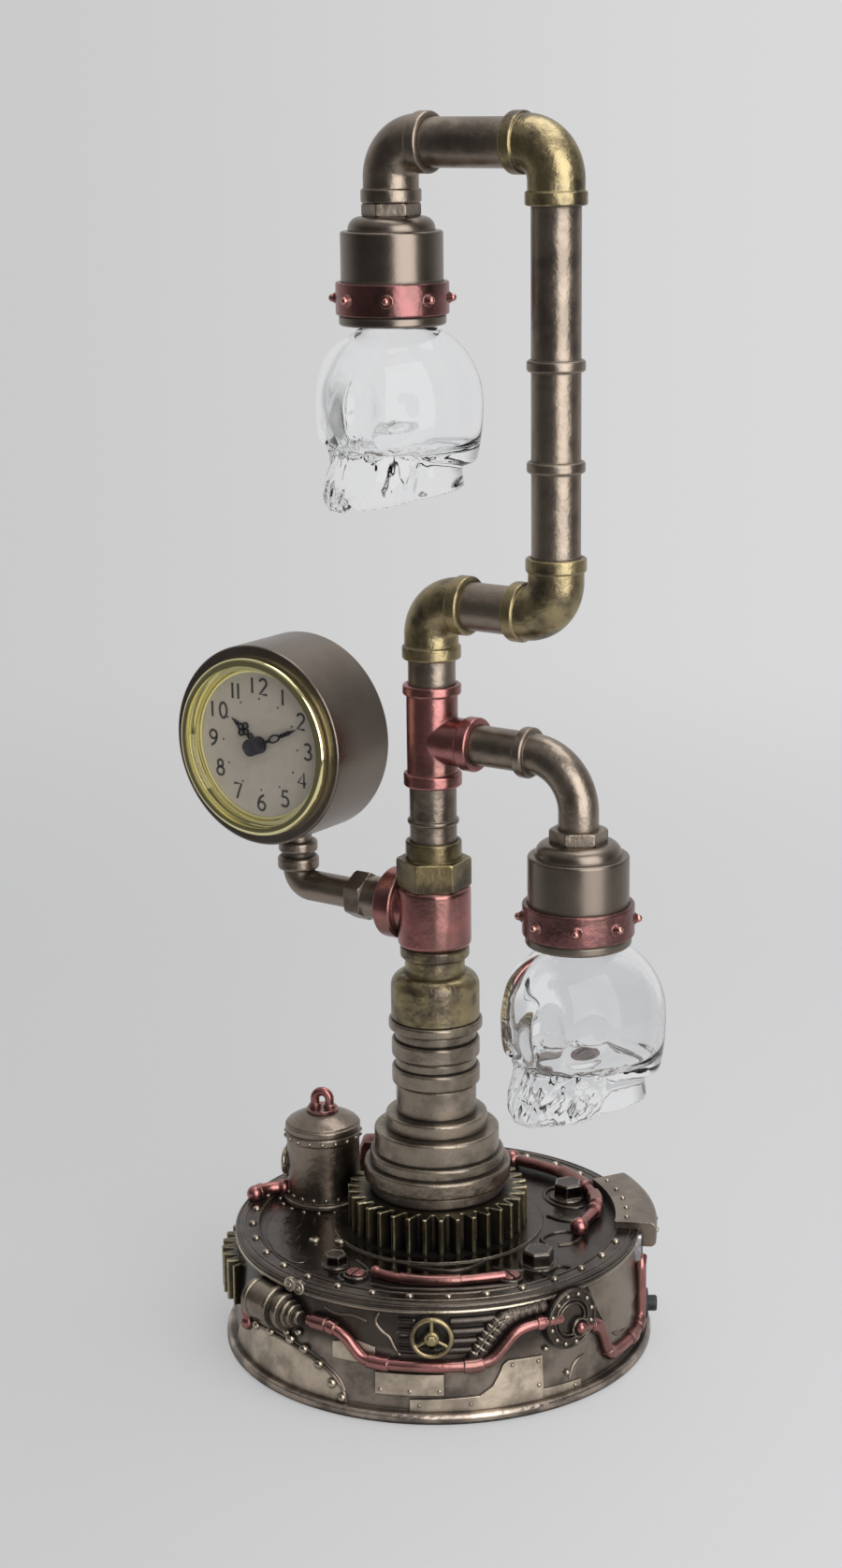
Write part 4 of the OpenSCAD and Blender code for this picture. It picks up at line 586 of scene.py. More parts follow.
def outer_head(turn, rise):
    """Distance to the moulded face, kept above the underside, which climbs towards the back."""
    turn_deg, rise_deg = math.degrees(turn), math.degrees(rise)
    relief = sum(swelling(turn_deg, rise_deg, *f) for f in FEATURES)
    relief += swelling(turn_deg, rise_deg, *SOCKET, crisp=1.7)
    relief += teeth(turn_deg, rise_deg) + bone(turn_deg, rise_deg)
    reach = plain_head(turn, rise) + relief
    down = max(0.05, -math.sin(rise) - 0.16 * math.cos(turn) * math.cos(rise))
    return min(reach, (HEAD_TALL - HEAD_DROP) * 0.9 / down) if rise < 0 else reach


def inner_head(turn, rise):
    """Distance to the hollow: a smooth bubble, set back from the face, with a floor."""
    back_off = swelling(math.degrees(turn), math.degrees(rise), 1.2, 0, -6, 50, 32)
    bubble = plain_head(turn, rise) - GLASS_WALL - back_off
    flat = HOLLOW_DROP / max(0.05, -math.sin(rise))
    return min((bubble ** -9 + flat ** -9) ** (-1 / 9), outer_head(turn, rise) - 0.8 * GLASS_WALL)


print("eye socket depth in mm:", round(plain_head(0.58, -0.02) - outer_head(0.58, -0.02), 1))

# %% Blow both glasses
HEAD_COLUMNS, HEAD_ROWS = 220, 120


def head_rows(distance, first, last, neck_radius, neck_low):
    """Rows of points from the neck's mouth down over one skin of the head."""
    shares = [2 * i / HEAD_COLUMNS - 1 for i in range(HEAD_COLUMNS)]
    turns = [math.pi * (0.6 * s + 0.4 * s ** 3) for s in shares]
    neck = ((neck_radius, NECK_LENGTH), (neck_radius, neck_low + 1.5), (neck_radius + 0.4, neck_low))
    rows = [[(r * math.sin(t), -r * math.cos(t), z) for t in turns] for r, z in neck]
    for j in range(HEAD_ROWS):
        rise = math.radians(first + (last - first) * j / (HEAD_ROWS - 1))
        row = []
        for turn in turns:
            reach = distance(turn, rise)
            row.append((reach * math.sin(turn) * math.cos(rise),
                        HEAD_BACK - reach * math.cos(turn) * math.cos(rise),
                        reach * math.sin(rise) - HEAD_DROP))
        rows.append(row)
    return rows


def in_mm(box):
    """Both corners of a solid's box, in millimetres."""
    return [corner / MM for corner in box]


glass_shape = Shape()
outside = head_rows(outer_head, 62, -89, NECK_RADIUS, -0.6)
inside = head_rows(inner_head, 60, -89, NECK_RADIUS - GLASS_WALL, -1.0)
glass_shape.skin(outside[::-1] + inside, caps=True)
for place in ("upper", "lower"):
    low, high = in_mm(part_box(place + "_holder"))
    set_in = Matrix.Translation(((low.x + high.x) / 2, (low.y + high.y) / 2, low.z))
    moved = Shape()
    moved.points = [set_in @ Matrix.Rotation(FACE_TURN, 4, "Z") @ p for p in glass_shape.points]
    moved.faces = glass_shape.faces
    skull = make(place + "_skull", moved, glass, crease=60)
    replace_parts(skull, place + "_glass")

# %% [markdown]
# ## The studs
# Each copper band has eight coned studs, and the ball on each cone's tip is rubbed bright. The cones are
# part of the band, so only the bright balls are added, as pieces with a finish of their own.

# %% Polish the studs
BAND_RADIUS, STUD_COUNT, STUD_START, STUD_REACH, STUD_BALL = 18.6, 8, 0.65, 1.1, 1.35
for place in ("upper", "lower"):
    low, high = in_mm(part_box(place + "_band"))
    middle = (low + high) / 2
    studs = Shape()
    for k in range(STUD_COUNT):
        turn = (k + STUD_START) * 2 * math.pi / STUD_COUNT
        out = Vector((math.cos(turn), math.sin(turn), 0))
        studs.ball(middle + out * (BAND_RADIUS + STUD_REACH), STUD_BALL)
    make(place + "_studs", studs, bright_copper)

# %% [markdown]
# ## The dial's printing
# The numerals are slim and all stand upright, each with a dot on its inner side. They are pen strokes:
# straight lines and arcs in a box one unit tall, widened to the pen's width and laid on the dial.

# %% Print the numerals
STROKES = {
    "0": [arc((0.3, 0.5), (0.28, 0.5), 90, 450)],
    "1": [[(0.3, 0), (0.3, 1)]],
    "2": [arc((0.3, 0.73), (0.27, 0.27), 165, -35) + [(0.02, 0), (0.6, 0)]],
    "3": [arc((0.28, 0.76), (0.24, 0.24), 150, -90), arc((0.28, 0.26), (0.29, 0.26), 90, -150)],
    "4": [[(0.46, 0), (0.46, 1), (0, 0.3), (0.62, 0.3)]],
    "5": [[(0.55, 1), (0.14, 1)] + arc((0.26, 0.31), (0.31, 0.31), 122, -140)],
    "6": [arc((0.3, 0.28), (0.28, 0.28), 180, 540), arc((0.66, 0.28), (0.64, 0.74), 180, 104)],
    "7": [[(0, 1), (0.58, 1), (0.2, 0)]],
    "8": [arc((0.3, 0.77), (0.21, 0.23), 90, 450), arc((0.3, 0.27), (0.28, 0.27), 90, 450)],
    "9": [arc((0.3, 0.72), (0.28, 0.28), 0, 360), arc((-0.06, 0.72), (0.64, 0.74), 0, -76)],
}
NUMERAL_TALL, NUMERAL_TRACK, PEN, INK_THICK = 5.4, 20.4, 0.92, 0.06
DOT_TRACK, DOT_RADIUS, DOT_PEN = 16.0, 0.2, 0.38
DIGIT_WIDE, SLIM_WIDE, DIGIT_GAP, ELEVEN_BACK, ONE_BACK = 0.6, 0.34, 0.12, 0.13, 0.16

dial_low, dial_high = in_mm(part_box("clock_dial"))
clock_centre = (dial_low + dial_high) / 2
dial_face = dial_low.y


def on_dial(across, up, proud):
    """A point on the dial; proud is how far it stands in front of the paper."""
    return Vector((clock_centre.x + across, dial_face - proud, clock_centre.z + up))


def stroke(shape, points, pen, low, high, spot=on_dial):
    """A flat pen stroke along points, from one height above the dial to another."""
    trail = [Vector(p).to_3d() for p in points]
    closed = (trail[0] - trail[-1]).length < 1e-6
    rows = []
    edges = ((1, low), (1, high), (-1, high), (-1, low))
    for i, point in enumerate(trail):
        before = trail[i - 1] if i else (trail[-2] if closed else point)
        after = trail[i + 1] if i + 1 < len(trail) else (trail[1] if closed else point)
        heading = (after - before).normalized()
        side = Vector((heading.y, -heading.x, 0)) * pen / 2
        rows.append([spot(*(point + side * s).xy, h) for s, h in edges])
    return shape.skin(rows, caps=not closed)


printing = Shape()
for hour in range(1, 13):
    turn = math.radians(30 * hour)
    digits = str(hour)
    eleven = digits == "11"
    width = SLIM_WIDE if eleven else DIGIT_WIDE
    start = -(width * len(digits) + DIGIT_GAP * (len(digits) - 1)) / 2 - (ELEVEN_BACK if eleven else 0)
    for k, digit in enumerate(digits):
        tuck = ONE_BACK if digit == "1" and len(digits) == 2 and not eleven else 0
        step = start + k * (width + DIGIT_GAP) - tuck
        for line in STROKES[digit]:
            drawn = [((step + x) * NUMERAL_TALL + NUMERAL_TRACK * math.sin(turn),
                      (y - 0.5) * NUMERAL_TALL + NUMERAL_TRACK * math.cos(turn)) for x, y in line]
            stroke(printing, drawn, PEN, 0, INK_THICK)
    dot = (DOT_TRACK * math.sin(turn), DOT_TRACK * math.cos(turn))
    stroke(printing, arc(dot, (DOT_RADIUS, DOT_RADIUS), 0, 360, 10), DOT_PEN, 0, INK_THICK)
make("dial_numerals", printing, ink, "insert")

# %% [markdown]
# ## The hands
# Both hands are pierced and stamped from thin blued sheet. The hour hand has a ring and a cross of four
# rings before its point, and the minute hand has a long loop and a beaded bar. A deep cap holds them.
# They are drawn by strokes, as the numerals are, and a gold ring closes the edge of the dial.

# %% Stamp the hands
HOUR_TURN, MINUTE_TURN = 305.5, 66.0
HAND_THICK, HAND_GAP, HAND_PEN, BOSS_RADIUS, BOSS_PEN = 0.5, 0.4, 0.62, 2.3, 1.4
hour_lift = dial_face - in_mm(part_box("hour_hand"))[1].y
minute_lift = hour_lift + HAND_THICK + HAND_GAP


def hand_spot(turn):
    """Places a point that is drawn for twelve o'clock on a hand that points elsewhere."""
    c, s = math.cos(math.radians(turn)), math.sin(math.radians(turn))
    return lambda x, y, proud: on_dial(x * c + y * s, y * c - x * s, proud)


def stamp(shape, turn, lift, rings, bars, point):
    """Adds a hand: rings as (x, y, rx, ry), bars as (from, to, width) and a point as (from, to, width)."""
    spot = hand_spot(turn)
    for x, y, rx, ry in rings:
        stroke(shape, arc((x, y), (rx, ry), 0, 360, 24), HAND_PEN, lift, lift + HAND_THICK, spot)
    for start, end, width in bars:
        stroke(shape, [(0, start), (0, end)], width, lift, lift + HAND_THICK, spot)
    start, end, width = point
    corners = [(-width / 2, start), (0, end), (width / 2, start), (0, start - width / 2)]
    shape.skin([[spot(x, y, h) for x, y in corners] for h in (lift, lift + HAND_THICK)])
    boss = arc((0, 0), (BOSS_RADIUS, BOSS_RADIUS), 0, 360, 32)
    stroke(shape, boss, BOSS_PEN, lift, lift + HAND_THICK, spot)


hour_shape = Shape()
stamp(hour_shape, HOUR_TURN, hour_lift,
      [(0, 4.6, 0.9, 0.9), (0, 6.9, 1.0, 1.1), (1.45, 8.2, 1.1, 1.0), (-1.45, 8.2, 1.1, 1.0),
       (0, 9.5, 1.0, 1.1)],
      [(2.6, 3.6, 1.2), (5.4, 6.0, 1.0), (10.4, 11.4, 0.9)], (11.2, 14.2, 1.5))
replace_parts(make("hour_pointer", hour_shape, blued, "hour"), "hour_hand")

minute_shape = Shape()
stamp(minute_shape, MINUTE_TURN, minute_lift,
      [(0, 8.0, 1.15, 2.3)] + [(0, 11.6 + 1.5 * k, 0.5, 0.55) for k in range(3)],
      [(2.6, 5.8, 1.1), (10.2, 16.4, 0.75)], (16.0, 18.7, 1.0))
CAP_RADIUS = 3.0
cap_top = dial_face - in_mm(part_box("minute_hand"))[0].y
cap_place = Matrix.Translation(on_dial(0, 0, 0)) @ Matrix.Rotation(math.radians(90), 4, "X")
cap = [(CAP_RADIUS * 0.97, minute_lift), (CAP_RADIUS, cap_top - 0.5), (CAP_RADIUS - 0.3, cap_top - 0.1),
       (CAP_RADIUS * 0.5, cap_top), (CAP_RADIUS * 0.05, cap_top)]
minute_shape.turned(cap, cap_place, sides=40)
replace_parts(make("minute_pointer", minute_shape, blued, "minute"), "minute_hand")

# %% Turn the ring round the dial
ring_radius = (dial_high.x - dial_low.x) / 2
RING = [(-1.1, 0), (-1.0, 0.5), (-0.5, 0.7), (0, 0.5), (0, 0)]
dial_ring = Shape().turned([(ring_radius + r, h) for r, h in RING], cap_place, sides=96, caps=False)
make("dial_ring", dial_ring, gold, "insert")

# %% [markdown]
# ## Places on the base
# Directions on the base are counted in degrees from the lower lamp's side. The drum leans in a little
# towards its rim, so a place on the wall is found from its direction and height, with its own
# axes: out of the wall, up, and along it.

# %% Find places on the drum and the deck
RIM_TOP = in_mm(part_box("base_shell"))[1].z
RIM_RADIUS, RIM_BAND, RIM_TALL, DECK_DROP = 70.5, 8.0, 3.6, 1.2
FLANGE_TOP, WALL_FOOT, WALL_TOP = 4.3, 71.8, 69.7
DECK = RIM_TOP - DECK_DROP
RIM_LOW = RIM_TOP - RIM_TALL


def wall_radius(height):
    """The drum's radius at a height."""
    share = (height - FLANGE_TOP) / (RIM_LOW - FLANGE_TOP)
    return WALL_FOOT + (WALL_TOP - WALL_FOOT) * share


def polar(radius, angle, height):
    """A point by its distance from the lamp's axis, its direction in degrees and its height."""
    return Vector((radius * math.cos(math.radians(angle)), radius * math.sin(math.radians(angle)), height))


def on_wall(angle, height, lift=0.0):
    """A place on the drum whose own Z points out and whose own Y points up."""
    out = polar(1, angle, 0)
    along = polar(1, angle + 90, 0)
    turned = Matrix((along, Vector((0, 0, 1)), out)).transposed().to_4x4()
    return Matrix.Translation(polar(wall_radius(height) + lift, angle, height)) @ turned


def on_deck(radius, angle, height):
    """A place on the deck whose own Z points up."""
    return Matrix.Translation(polar(radius, angle, height)) @ Matrix.Rotation(math.radians(angle), 4, "Z")


print("wall leans in by mm:", round(WALL_FOOT - WALL_TOP, 1), "deck at", round(DECK, 1))

# %% [markdown]
# ## Paths on the base
# Pipes, hoses and cast edges all follow a bent line over the wall or the deck. A curve object could be
# drawn for each, but a few corners that are rounded off and then lifted onto the base are easier to change.

# %% Lay paths
def softened(corners, reach, steps=7):
    """A line of (x, y) corners with each inner corner rounded off over a reach."""
    points = [Vector(c).to_2d() for c in corners]
    line = [points[0]]
    for before, corner, after in zip(points, points[1:], points[2:]):
        start = corner + (before - corner).normalized() * min(reach, (before - corner).length / 2)
        end = corner + (after - corner).normalized() * min(reach, (after - corner).length / 2)
        for k in range(steps + 1):
            t = k / steps
            line.append((1 - t) ** 2 * start + 2 * t * (1 - t) * corner + t * t * end)
    return line + [points[-1]]


def stretch(line, gap=1.2):
    """The same line with points at most a gap apart."""
    dense = [line[0]]
    for a, b in zip(line, line[1:]):
        count = max(1, math.ceil((b - a).length / gap))
        dense += [a + (b - a) * (k + 1) / count for k in range(count)]
    return dense


def along_wall(corners, lift, reach=3.0):
    """A path over the drum through (angle, height) corners, rounded, at one radius from the axis."""
    radius = WALL_TOP + lift
    flat = [(math.radians(a) * radius, z) for a, z in corners]
    return [polar(radius, math.degrees(x / radius), z) for x, z in stretch(softened(flat, reach))]


def over_deck(corners, height, reach=4.0):
    """A level path over the deck through (radius, angle) corners, rounded."""
    flat = [polar(r, a, 0).to_2d() for r, a in corners]
    return [Vector((p.x, p.y, height)) for p in stretch(softened(flat, reach))]


def between(path, start, end):
    """The part of a path between two distances from its start."""
    part, gone = [], 0.0
    for a, b in zip(path, path[1:]):
        length = (b - a).length
        for mark in (start, end):
            if gone <= mark < gone + length:
                part.append(a + (b - a) * (mark - gone) / length)
        gone += length
        if start < gone < end:
            part.append(b)
    return part


def length_of(path):
    return sum((b - a).length for a, b in zip(path, path[1:]))


print("a quarter of the wall in mm:", round(length_of(along_wall([(0, 20), (45, 20), (90, 20)], 0)), 1))

# %% [markdown]
# ## Copper pipes
# Thin copper pipe runs round the drum and over the deck. It is bent cold, so its corners are round, and
# short sleeves cover the joints. Each run is a path through a few corners; sleeves are thicker
# bar over part of the same path.

# %% Bend the pipes on the drum
PIPE, SLEEVE, PIPE_LIFT = 2.0, 2.55, 2.4


def pipe_run(shape, path, radius=PIPE, sleeves=(), sleeve=SLEEVE):
    """A pipe along a path with sleeves given as (start, end) shares of its length."""
    shape.bent(path, radius)
    whole = length_of(path)
    for start, end in sleeves:
        shape.bent(between(path, start * whole, end * whole), sleeve)
    return shape


front_run = along_wall([(-92, 31), (-85, 31), (-80.5, 28.5), (-76, 21.4), (-70, 20.6), (-45.5, 20.4),
                        (-41, 21.6), (-34.4, 30.8), (-30.5, 32), (-21, 31.6)], PIPE_LIFT)
right_run = along_wall([(-15, 26.4), (-8.5, 24.6), (-5.4, 21), (-2.4, 11), (0.6, 10), (17, 9.2), (22, 11),
                        (22.3, 18), (22, 31), (24, 33)], PIPE_LIFT)
left_run = along_wall([(-113, 30.4), (-117, 30.2), (-120.4, 26), (-121, 17)], PIPE_LIFT - 0.3)
pipes = Shape()
pipe_run(pipes, front_run, sleeves=[(0.02, 0.075), (0.085, 0.11), (0.27, 0.34), (0.6, 0.665), (0.9, 0.925)])
pipe_run(pipes, right_run, sleeves=[(0.08, 0.15), (0.29, 0.345), (0.52, 0.57), (0.64, 0.70)])
pipe_run(pipes, left_run, sleeves=[(0.72, 0.84)])
END_BALL = 2.7
pipes.ball(left_run[-1], END_BALL)
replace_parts(make("drum_pipes", pipes, copper), "wall_pipes")

# %% Bend the pipes on the deck
deck_pipes = Shape()
BACK_Z, FRONT_Z, LEFT_Z = DECK + 2.9, DECK + 1.7, RIM_TOP + 2.2
back_run = over_deck([(57.5, 96), (57.5, 83), (58.5, 72), (58.2, 58), (57.8, 47), (55.5, 36),
                      (50.8, 20.5)], BACK_Z)
pipe_run(deck_pipes, back_run, sleeves=[(0.3, 0.52), (0.62, 0.74), (0.78, 0.81)], sleeve=2.8)
for end in (back_run[0], back_run[-1]):
    deck_pipes.ball(end, 3.3)
front_pipe = over_deck([(50.3, -79.5), (52.4, -73), (53.4, -62), (53.8, -50), (53.8, -38),
                        (54.4, -31)], FRONT_Z)
pipe_run(deck_pipes, front_pipe, 1.7, sleeves=[(0.22, 0.66)], sleeve=2.1)
deck_pipes.ball(front_pipe[0], 2.2)
left_elbow = over_deck([(68, -161), (65.5, -166), (60.5, -169)], LEFT_Z, 3.0)
pipe_run(deck_pipes, left_elbow, 2.2, sleeves=[(0.1, 0.3)], sleeve=2.8)
for end in (left_elbow[0], left_elbow[-1]):
    deck_pipes.ball(end, 2.9)
rear_elbow = [(-49, 25, 0), (-49, 25, 9), (-47.5, 24.6, 12), (-44, 23.6, 13), (-34, 20.8, 13)]
deck_pipes.bent([(x, y, DECK + rise) for x, y, rise in rear_elbow], 2.6)
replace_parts(make("deck_pipes", deck_pipes, copper), "deck_fittings")

# %% [markdown]
# ## Bolts, screws and rivets on the deck
# The deck is held by three black hex bolts on round washers and two slotted screws in sunk rings. A row of
# small rivets follows the rim, between round beads. A hexagon is a turned piece with six sides, so the
# same tool makes it.

# %% Set bolts and screws
deck_bolts = Shape()
for radius, angle, size in ((50.3, -98.8, 0.8), (51.0, -13.4, 1.1), (51.1, 58.4, 1.1)):
    seat = on_deck(radius, angle, DECK) @ Matrix.Scale(size, 4)
    deck_bolts.turned([(6.0, -0.2), (6.0, 0.6), (5.6, 0.9), (5.0, 0.9)], seat, sides=40)
    deck_bolts.turned([(4.9, 0.8), (4.9, 5.0), (4.3, 5.6), (3.9, 5.35), (0.3, 5.35)], seat, sides=6)
SCREWS = ((53.4, -86.4), (54.8, -29))
for radius, angle in SCREWS:
    deck_bolts.turned([(4.3, -0.2), (4.3, 1.0), (3.9, 1.3), (3.4, 1.0), (3.3, 0.4)],
                      on_deck(radius, angle, DECK), sides=36)
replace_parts(make("deck_bolts", deck_bolts, black_bronze, crease=25), "deck_fittings")

screws = Shape()
for radius, angle in SCREWS:
    seat = on_deck(radius, angle, DECK)
    for side in (-1, 1):
        half = arc((0, 0.35 * side), (2.9, 2.9), 0, 180 * side, 16)
        screws.skin([[seat @ Vector((x, y, h)) for x, y in half] for h in (0.2, 1.9)])
make("slotted_screws", screws, copper, crease=30)

# %% Set the rim's rivets
RIVET_TRACK, RIVET_COUNT, RIVET_START = 65.0, 32, 0.35
rim_rivets = Shape()
for k in range(RIVET_COUNT):
    rim_rivets.rivet(on_deck(RIVET_TRACK, 360 / RIVET_COUNT * (k + RIVET_START), RIM_TOP), 1.35, 1.15)
RIM_MIDDLE = RIM_TOP - 1.6
for angle in (-99.6, -96.2):
    rim_bolt = on_wall(angle, RIM_MIDDLE, RIM_RADIUS - wall_radius(RIM_MIDDLE))
    rim_rivets.turned([(2.5, -1), (2.5, 0.7), (2.1, 1.0), (1.7, 0.7)], rim_bolt, sides=28)
    rim_rivets.rivet(rim_bolt, 1.4, 1.7)
for radius, angle in ((45.6, -124.6), (37.9, -118.4)):
    rim_rivets.turned([(1.9, -0.2), (1.9, 0.7), (1.4, 1.1), (0.2, 1.15)],
                      on_deck(radius, angle, DECK), sides=24)
make("rim_rivets", rim_rivets, bright_bronze)

# %% Run beads round the rim
def ring_bead(shape, radius, height, thick, sides=180):
    """A round bead that runs all the way round the base."""
    section = arc((radius, height), (thick, thick), 0, 360, 12)
    return shape.turned(section, sides=sides, caps=False)


rim_beads = Shape()
for inset, drop, thick in ((0.15, 0.75, 0.75), (RIM_BAND - 0.6, 0, 0.45), (2.6, 0, 0.3)):
    ring_bead(rim_beads, RIM_RADIUS - inset, RIM_TOP - drop, thick)
make("rim_beads", rim_beads, dark_bronze)
rim_edge = ring_bead(Shape(), RIM_RADIUS - 0.05, RIM_LOW + 0.7, 0.7)
make("rim_edge", rim_edge, bright_bronze)

# %% [markdown]
# ## Relief on the deck
# Cast lips frame the sunk places by the bolts, and a dark panel with a wavy edge lies by the boiler.
# The lips are thin bar laid half into the deck. The panel is a flat outline with a little height.

# %% Lay the deck's lips and panel
deck_lips = Shape()
for corners in (
    [(44, 4), (39.2, 8.5), (40.6, 17.5), (46.5, 23), (52, 20), (51.5, 11), (47, 7)],
    [(61.8, -17.5), (56.5, -17.8), (54.6, -12), (58, -7.2), (62, -8)],
    [(44, -30), (48.5, -27), (51.5, -22), (50, -17)],
    [(55.5, 67), (50, 70), (44.5, 66), (43, 58), (44.5, 50), (49.5, 45.5), (53, 47)],
    [(43, -95), (45.5, -88), (48, -83), (51, -90.5), (56, -92.5), (59, -88)],
    [(57, -78), (58, -70), (57.2, -58), (57.6, -46), (58.2, -36), (59.8, -29)],
    [(38.6, -70), (41, -60), (43, -48), (41, -38), (38.4, -32)],
    [(39, 40), (43, 34), (47.5, 33), (50.5, 36)],
):
    deck_lips.bent(over_deck(corners, DECK, 3.0), 0.8, sides=12)
make("deck_lips", deck_lips, dark_bronze)

panel_edge = [(57.2, -160), (58.6, -152), (60.2, -143), (61, -132), (61.4, -120), (60.5, -110),
              (56.5, -107.5), (54, -112), (55, -117), (51.5, -121), (52.5, -127), (49, -131),
              (50.5, -138), (47.5, -143), (49.5, -151), (52.5, -158)]
edge_line = softened([polar(r, a, 0).to_2d() for r, a in panel_edge + panel_edge[:1]], 2.5)
deck_panel = Shape().skin([[(p.x, p.y, h) for p in edge_line[:-1]] for h in (DECK - 0.2, DECK + 0.25)])
make("deck_panel", deck_panel, dark_bronze, crease=20)

# %% [markdown]
# ## Plates on the drum
# Sheets of bronze are riveted over each other on the drum's wall. Each is cut flat to an outline of a few
# corners, sliced upright so that it can bend, thickened, and wrapped on the leaning wall.

# %% Wrap a sheet on the drum
SUNK = 0.3


def wrap_sheet(shape, outline, thick, slice_wide=2.0):
    """A sheet with an outline of (angle, height) corners, wrapped on the drum."""
    cut = bmesh.new()
    cut.faces.new([cut.verts.new((math.radians(a) * WALL_FOOT, z, 0)) for a, z in outline])
    left = min(v.co.x for v in cut.verts)
    right = max(v.co.x for v in cut.verts)
    for k in range(1, math.ceil((right - left) / slice_wide)):
        everything = cut.verts[:] + cut.edges[:] + cut.faces[:]
        slice_at = (left + k * slice_wide, 0, 0)
        bmesh.ops.bisect_plane(cut, geom=everything, plane_co=slice_at, plane_no=(1, 0, 0))
    grown = bmesh.ops.extrude_face_region(cut, geom=cut.faces[:])
    for v in (g for g in grown["geom"] if isinstance(g, bmesh.types.BMVert)):
        v.co.z = thick
    cut.verts.index_update()
    first = len(shape.points)
    for v in cut.verts:
        lift = v.co.z if v.co.z > 0 else -SUNK
        shape.points.append(polar(wall_radius(v.co.y) + lift, math.degrees(v.co.x / WALL_FOOT), v.co.y))
    shape.faces += [tuple(first + v.index for v in face.verts) for face in cut.faces]
    cut.free()
    return shape


print("faces on a small sheet:", len(wrap_sheet(Shape(), [(0, 10), (8, 10), (8, 15), (0, 15)], 1).faces))

# %% Rivet the plates on
arch_edge = arc((-104, FLANGE_TOP), (23, 14.8), 0, 88, 20)
arch_line = [(-81, FLANGE_TOP)] + arch_edge[1:] + [(-112, 18.9), (-121, 17.2), (-129, 12.5)]
arch_plate = wrap_sheet(Shape(), arch_line + [(-133, FLANGE_TOP)], 0.5)
make("arch_plate", arch_plate, pale_bronze, crease=25)

plates = Shape()
wrap_sheet(plates, [(-72.2, 9.8), (-54, 10.2), (-54, 17.4), (-72.2, 17.4)], 1.1)
wrap_sheet(plates, [(-63, FLANGE_TOP), (-26.5, FLANGE_TOP), (-26.5, 19.6), (-36.5, 20.2), (-38, 19),
                    (-39, 16.2), (-41, 12), (-44.5, 9.2), (-63, 8.4)], 0.7)
wrap_sheet(plates, [(-26.5, FLANGE_TOP), (-13.8, FLANGE_TOP), (-13.8, 6.9), (-26.5, 7.6)], 0.45)
wrap_sheet(plates, [(-85, 19.4), (-72.5, 19.4), (-72.5, 25.5), (-78, 27), (-85, 25)], 0.4)
make("wall_plates", plates, pale_bronze, crease=25)

upper_panel = wrap_sheet(Shape(), [(-9, 37.8), (-4.4, 25), (-2, 18), (9.5, 14), (9.5, 18.6), (13, 20),
                                   (21, 21), (21, 37.8)], 0.35)
make("upper_panel", upper_panel, bronze, crease=25)

# %% Run the cast edges and set the rivets
wall_edges = Shape()
for corners, thick in (
    (arch_line, 0.75),
    ([(a, z + 1.7) for a, z in arch_line[2:]], 0.5),
    ([(-71.4, 37.6), (-72.8, 34.4), (-70.6, 31), (-68.4, 29.6), (-67.4, 26.4), (-65.6, 23.4)], 0.55),
    ([(-66.5, 31.6), (-64.6, 30.4), (-63, 31.2)], 0.5),
    ([(-12, 14.4), (-15, 13.8), (-16.6, 12), (-17.8, 8.4)], 0.6),
    ([(-9.3, 37.8), (-6.8, 31), (-4.4, 24.8)], 0.45),
    ([(9.6, 19), (9.6, 13.8)], 0.45),
    ([(9.6, 13.8), (4, 14.2), (1.5, 16)], 0.4),
    ([(-88, 36), (-84, 34.4), (-79, 35.6), (-75, 34)], 0.5),
):
    path = along_wall(corners, 0, 2.2)
    leaning = [polar(wall_radius(p.z), math.degrees(math.atan2(p.y, p.x)), p.z) for p in path]
    wall_edges.bent(leaning, thick, sides=10)
make("wall_edges", wall_edges, bronze)

wall_rivets = Shape()
RIVETS = [
    (-99.4, 20.9, 1.8), (-94.4, 19.2, 1.8), (-108, 19.9, 1.7), (-115.5, 18.6, 1.7), (-89.2, 15.6, 1.8),
    (-85.0, 10.2, 1.8), (-81.9, 5.9, 1.6), (-71, 11.2, 0.9), (-63, 11.2, 0.9), (-55.2, 11.4, 0.9),
    (-27.8, 18.0, 0.8), (-27.8, 9.6, 0.9), (-35.4, 18.4, 0.7), (-25.4, 21.6, 1.0), (-18.7, 11, 1.0),
    (-16, 5.6, 0.7), (-47, 6.6, 0.6), (-60.5, 6.4, 0.6), (-104, 24.6, 1.5), (-96.5, 24.4, 1.3),
    (-101, 22.6, 1.2),
]
for angle, height, radius in RIVETS:
    wall_rivets.rivet(on_wall(angle, height, 0.6), radius, radius * 0.85)
make("wall_rivets", wall_rivets, bright_bronze)

# %% [markdown]
# ## Hoses, channels and the riveted disc
# Two ribbed hoses come from under the rim and dive behind the copper pipe, next to four rows of black tube.
# The disc is a cover with a ring of rivets, turned rings and a copper ball in a socket, and the handwheel
# has a round hub with a nut. All of it is bar along a path or turned work, so no new tool is needed.

# %% Lay the hoses and channels
RIB_STEP = 2.6
hoses = Shape()
outer_hose = along_wall([(-25.5, 37.2), (-32.5, 37), (-37.5, 34.6), (-41.2, 29.4), (-45, 22.4)], 1.2, 5)
inner_hose = along_wall([(-33, 37.4), (-38.6, 36.2), (-42.2, 32.2), (-45.6, 25), (-47, 22)], 1.0, 5)
for hose, radius in ((outer_hose, 2.0), (inner_hose, 1.7)):
    hoses.bent(hose, radius)
    whole = length_of(hose)
    for k in range(int(whole / RIB_STEP)):
        rib = between(hose, RIB_STEP * k + 0.6, RIB_STEP * k + 1.5)
        hoses.bent(rib, radius + 0.25)
make("drum_hoses", hoses, dark_bronze)

channels = Shape()
for height, left, right in ((35.7, -52, -40), (32.0, -52.5, -42.5), (28.6, -52, -44.4), (25.4, -66, -46)):
    channels.bent(along_wall([(left, height), ((left + right) / 2, height), (right, height)], 0.5), 1.35)
    channels.bent(along_wall([(-66, height), (-64, height), (-61.5, height)], 0.4), 1.2)
make("drum_channels", channels, black_bronze)

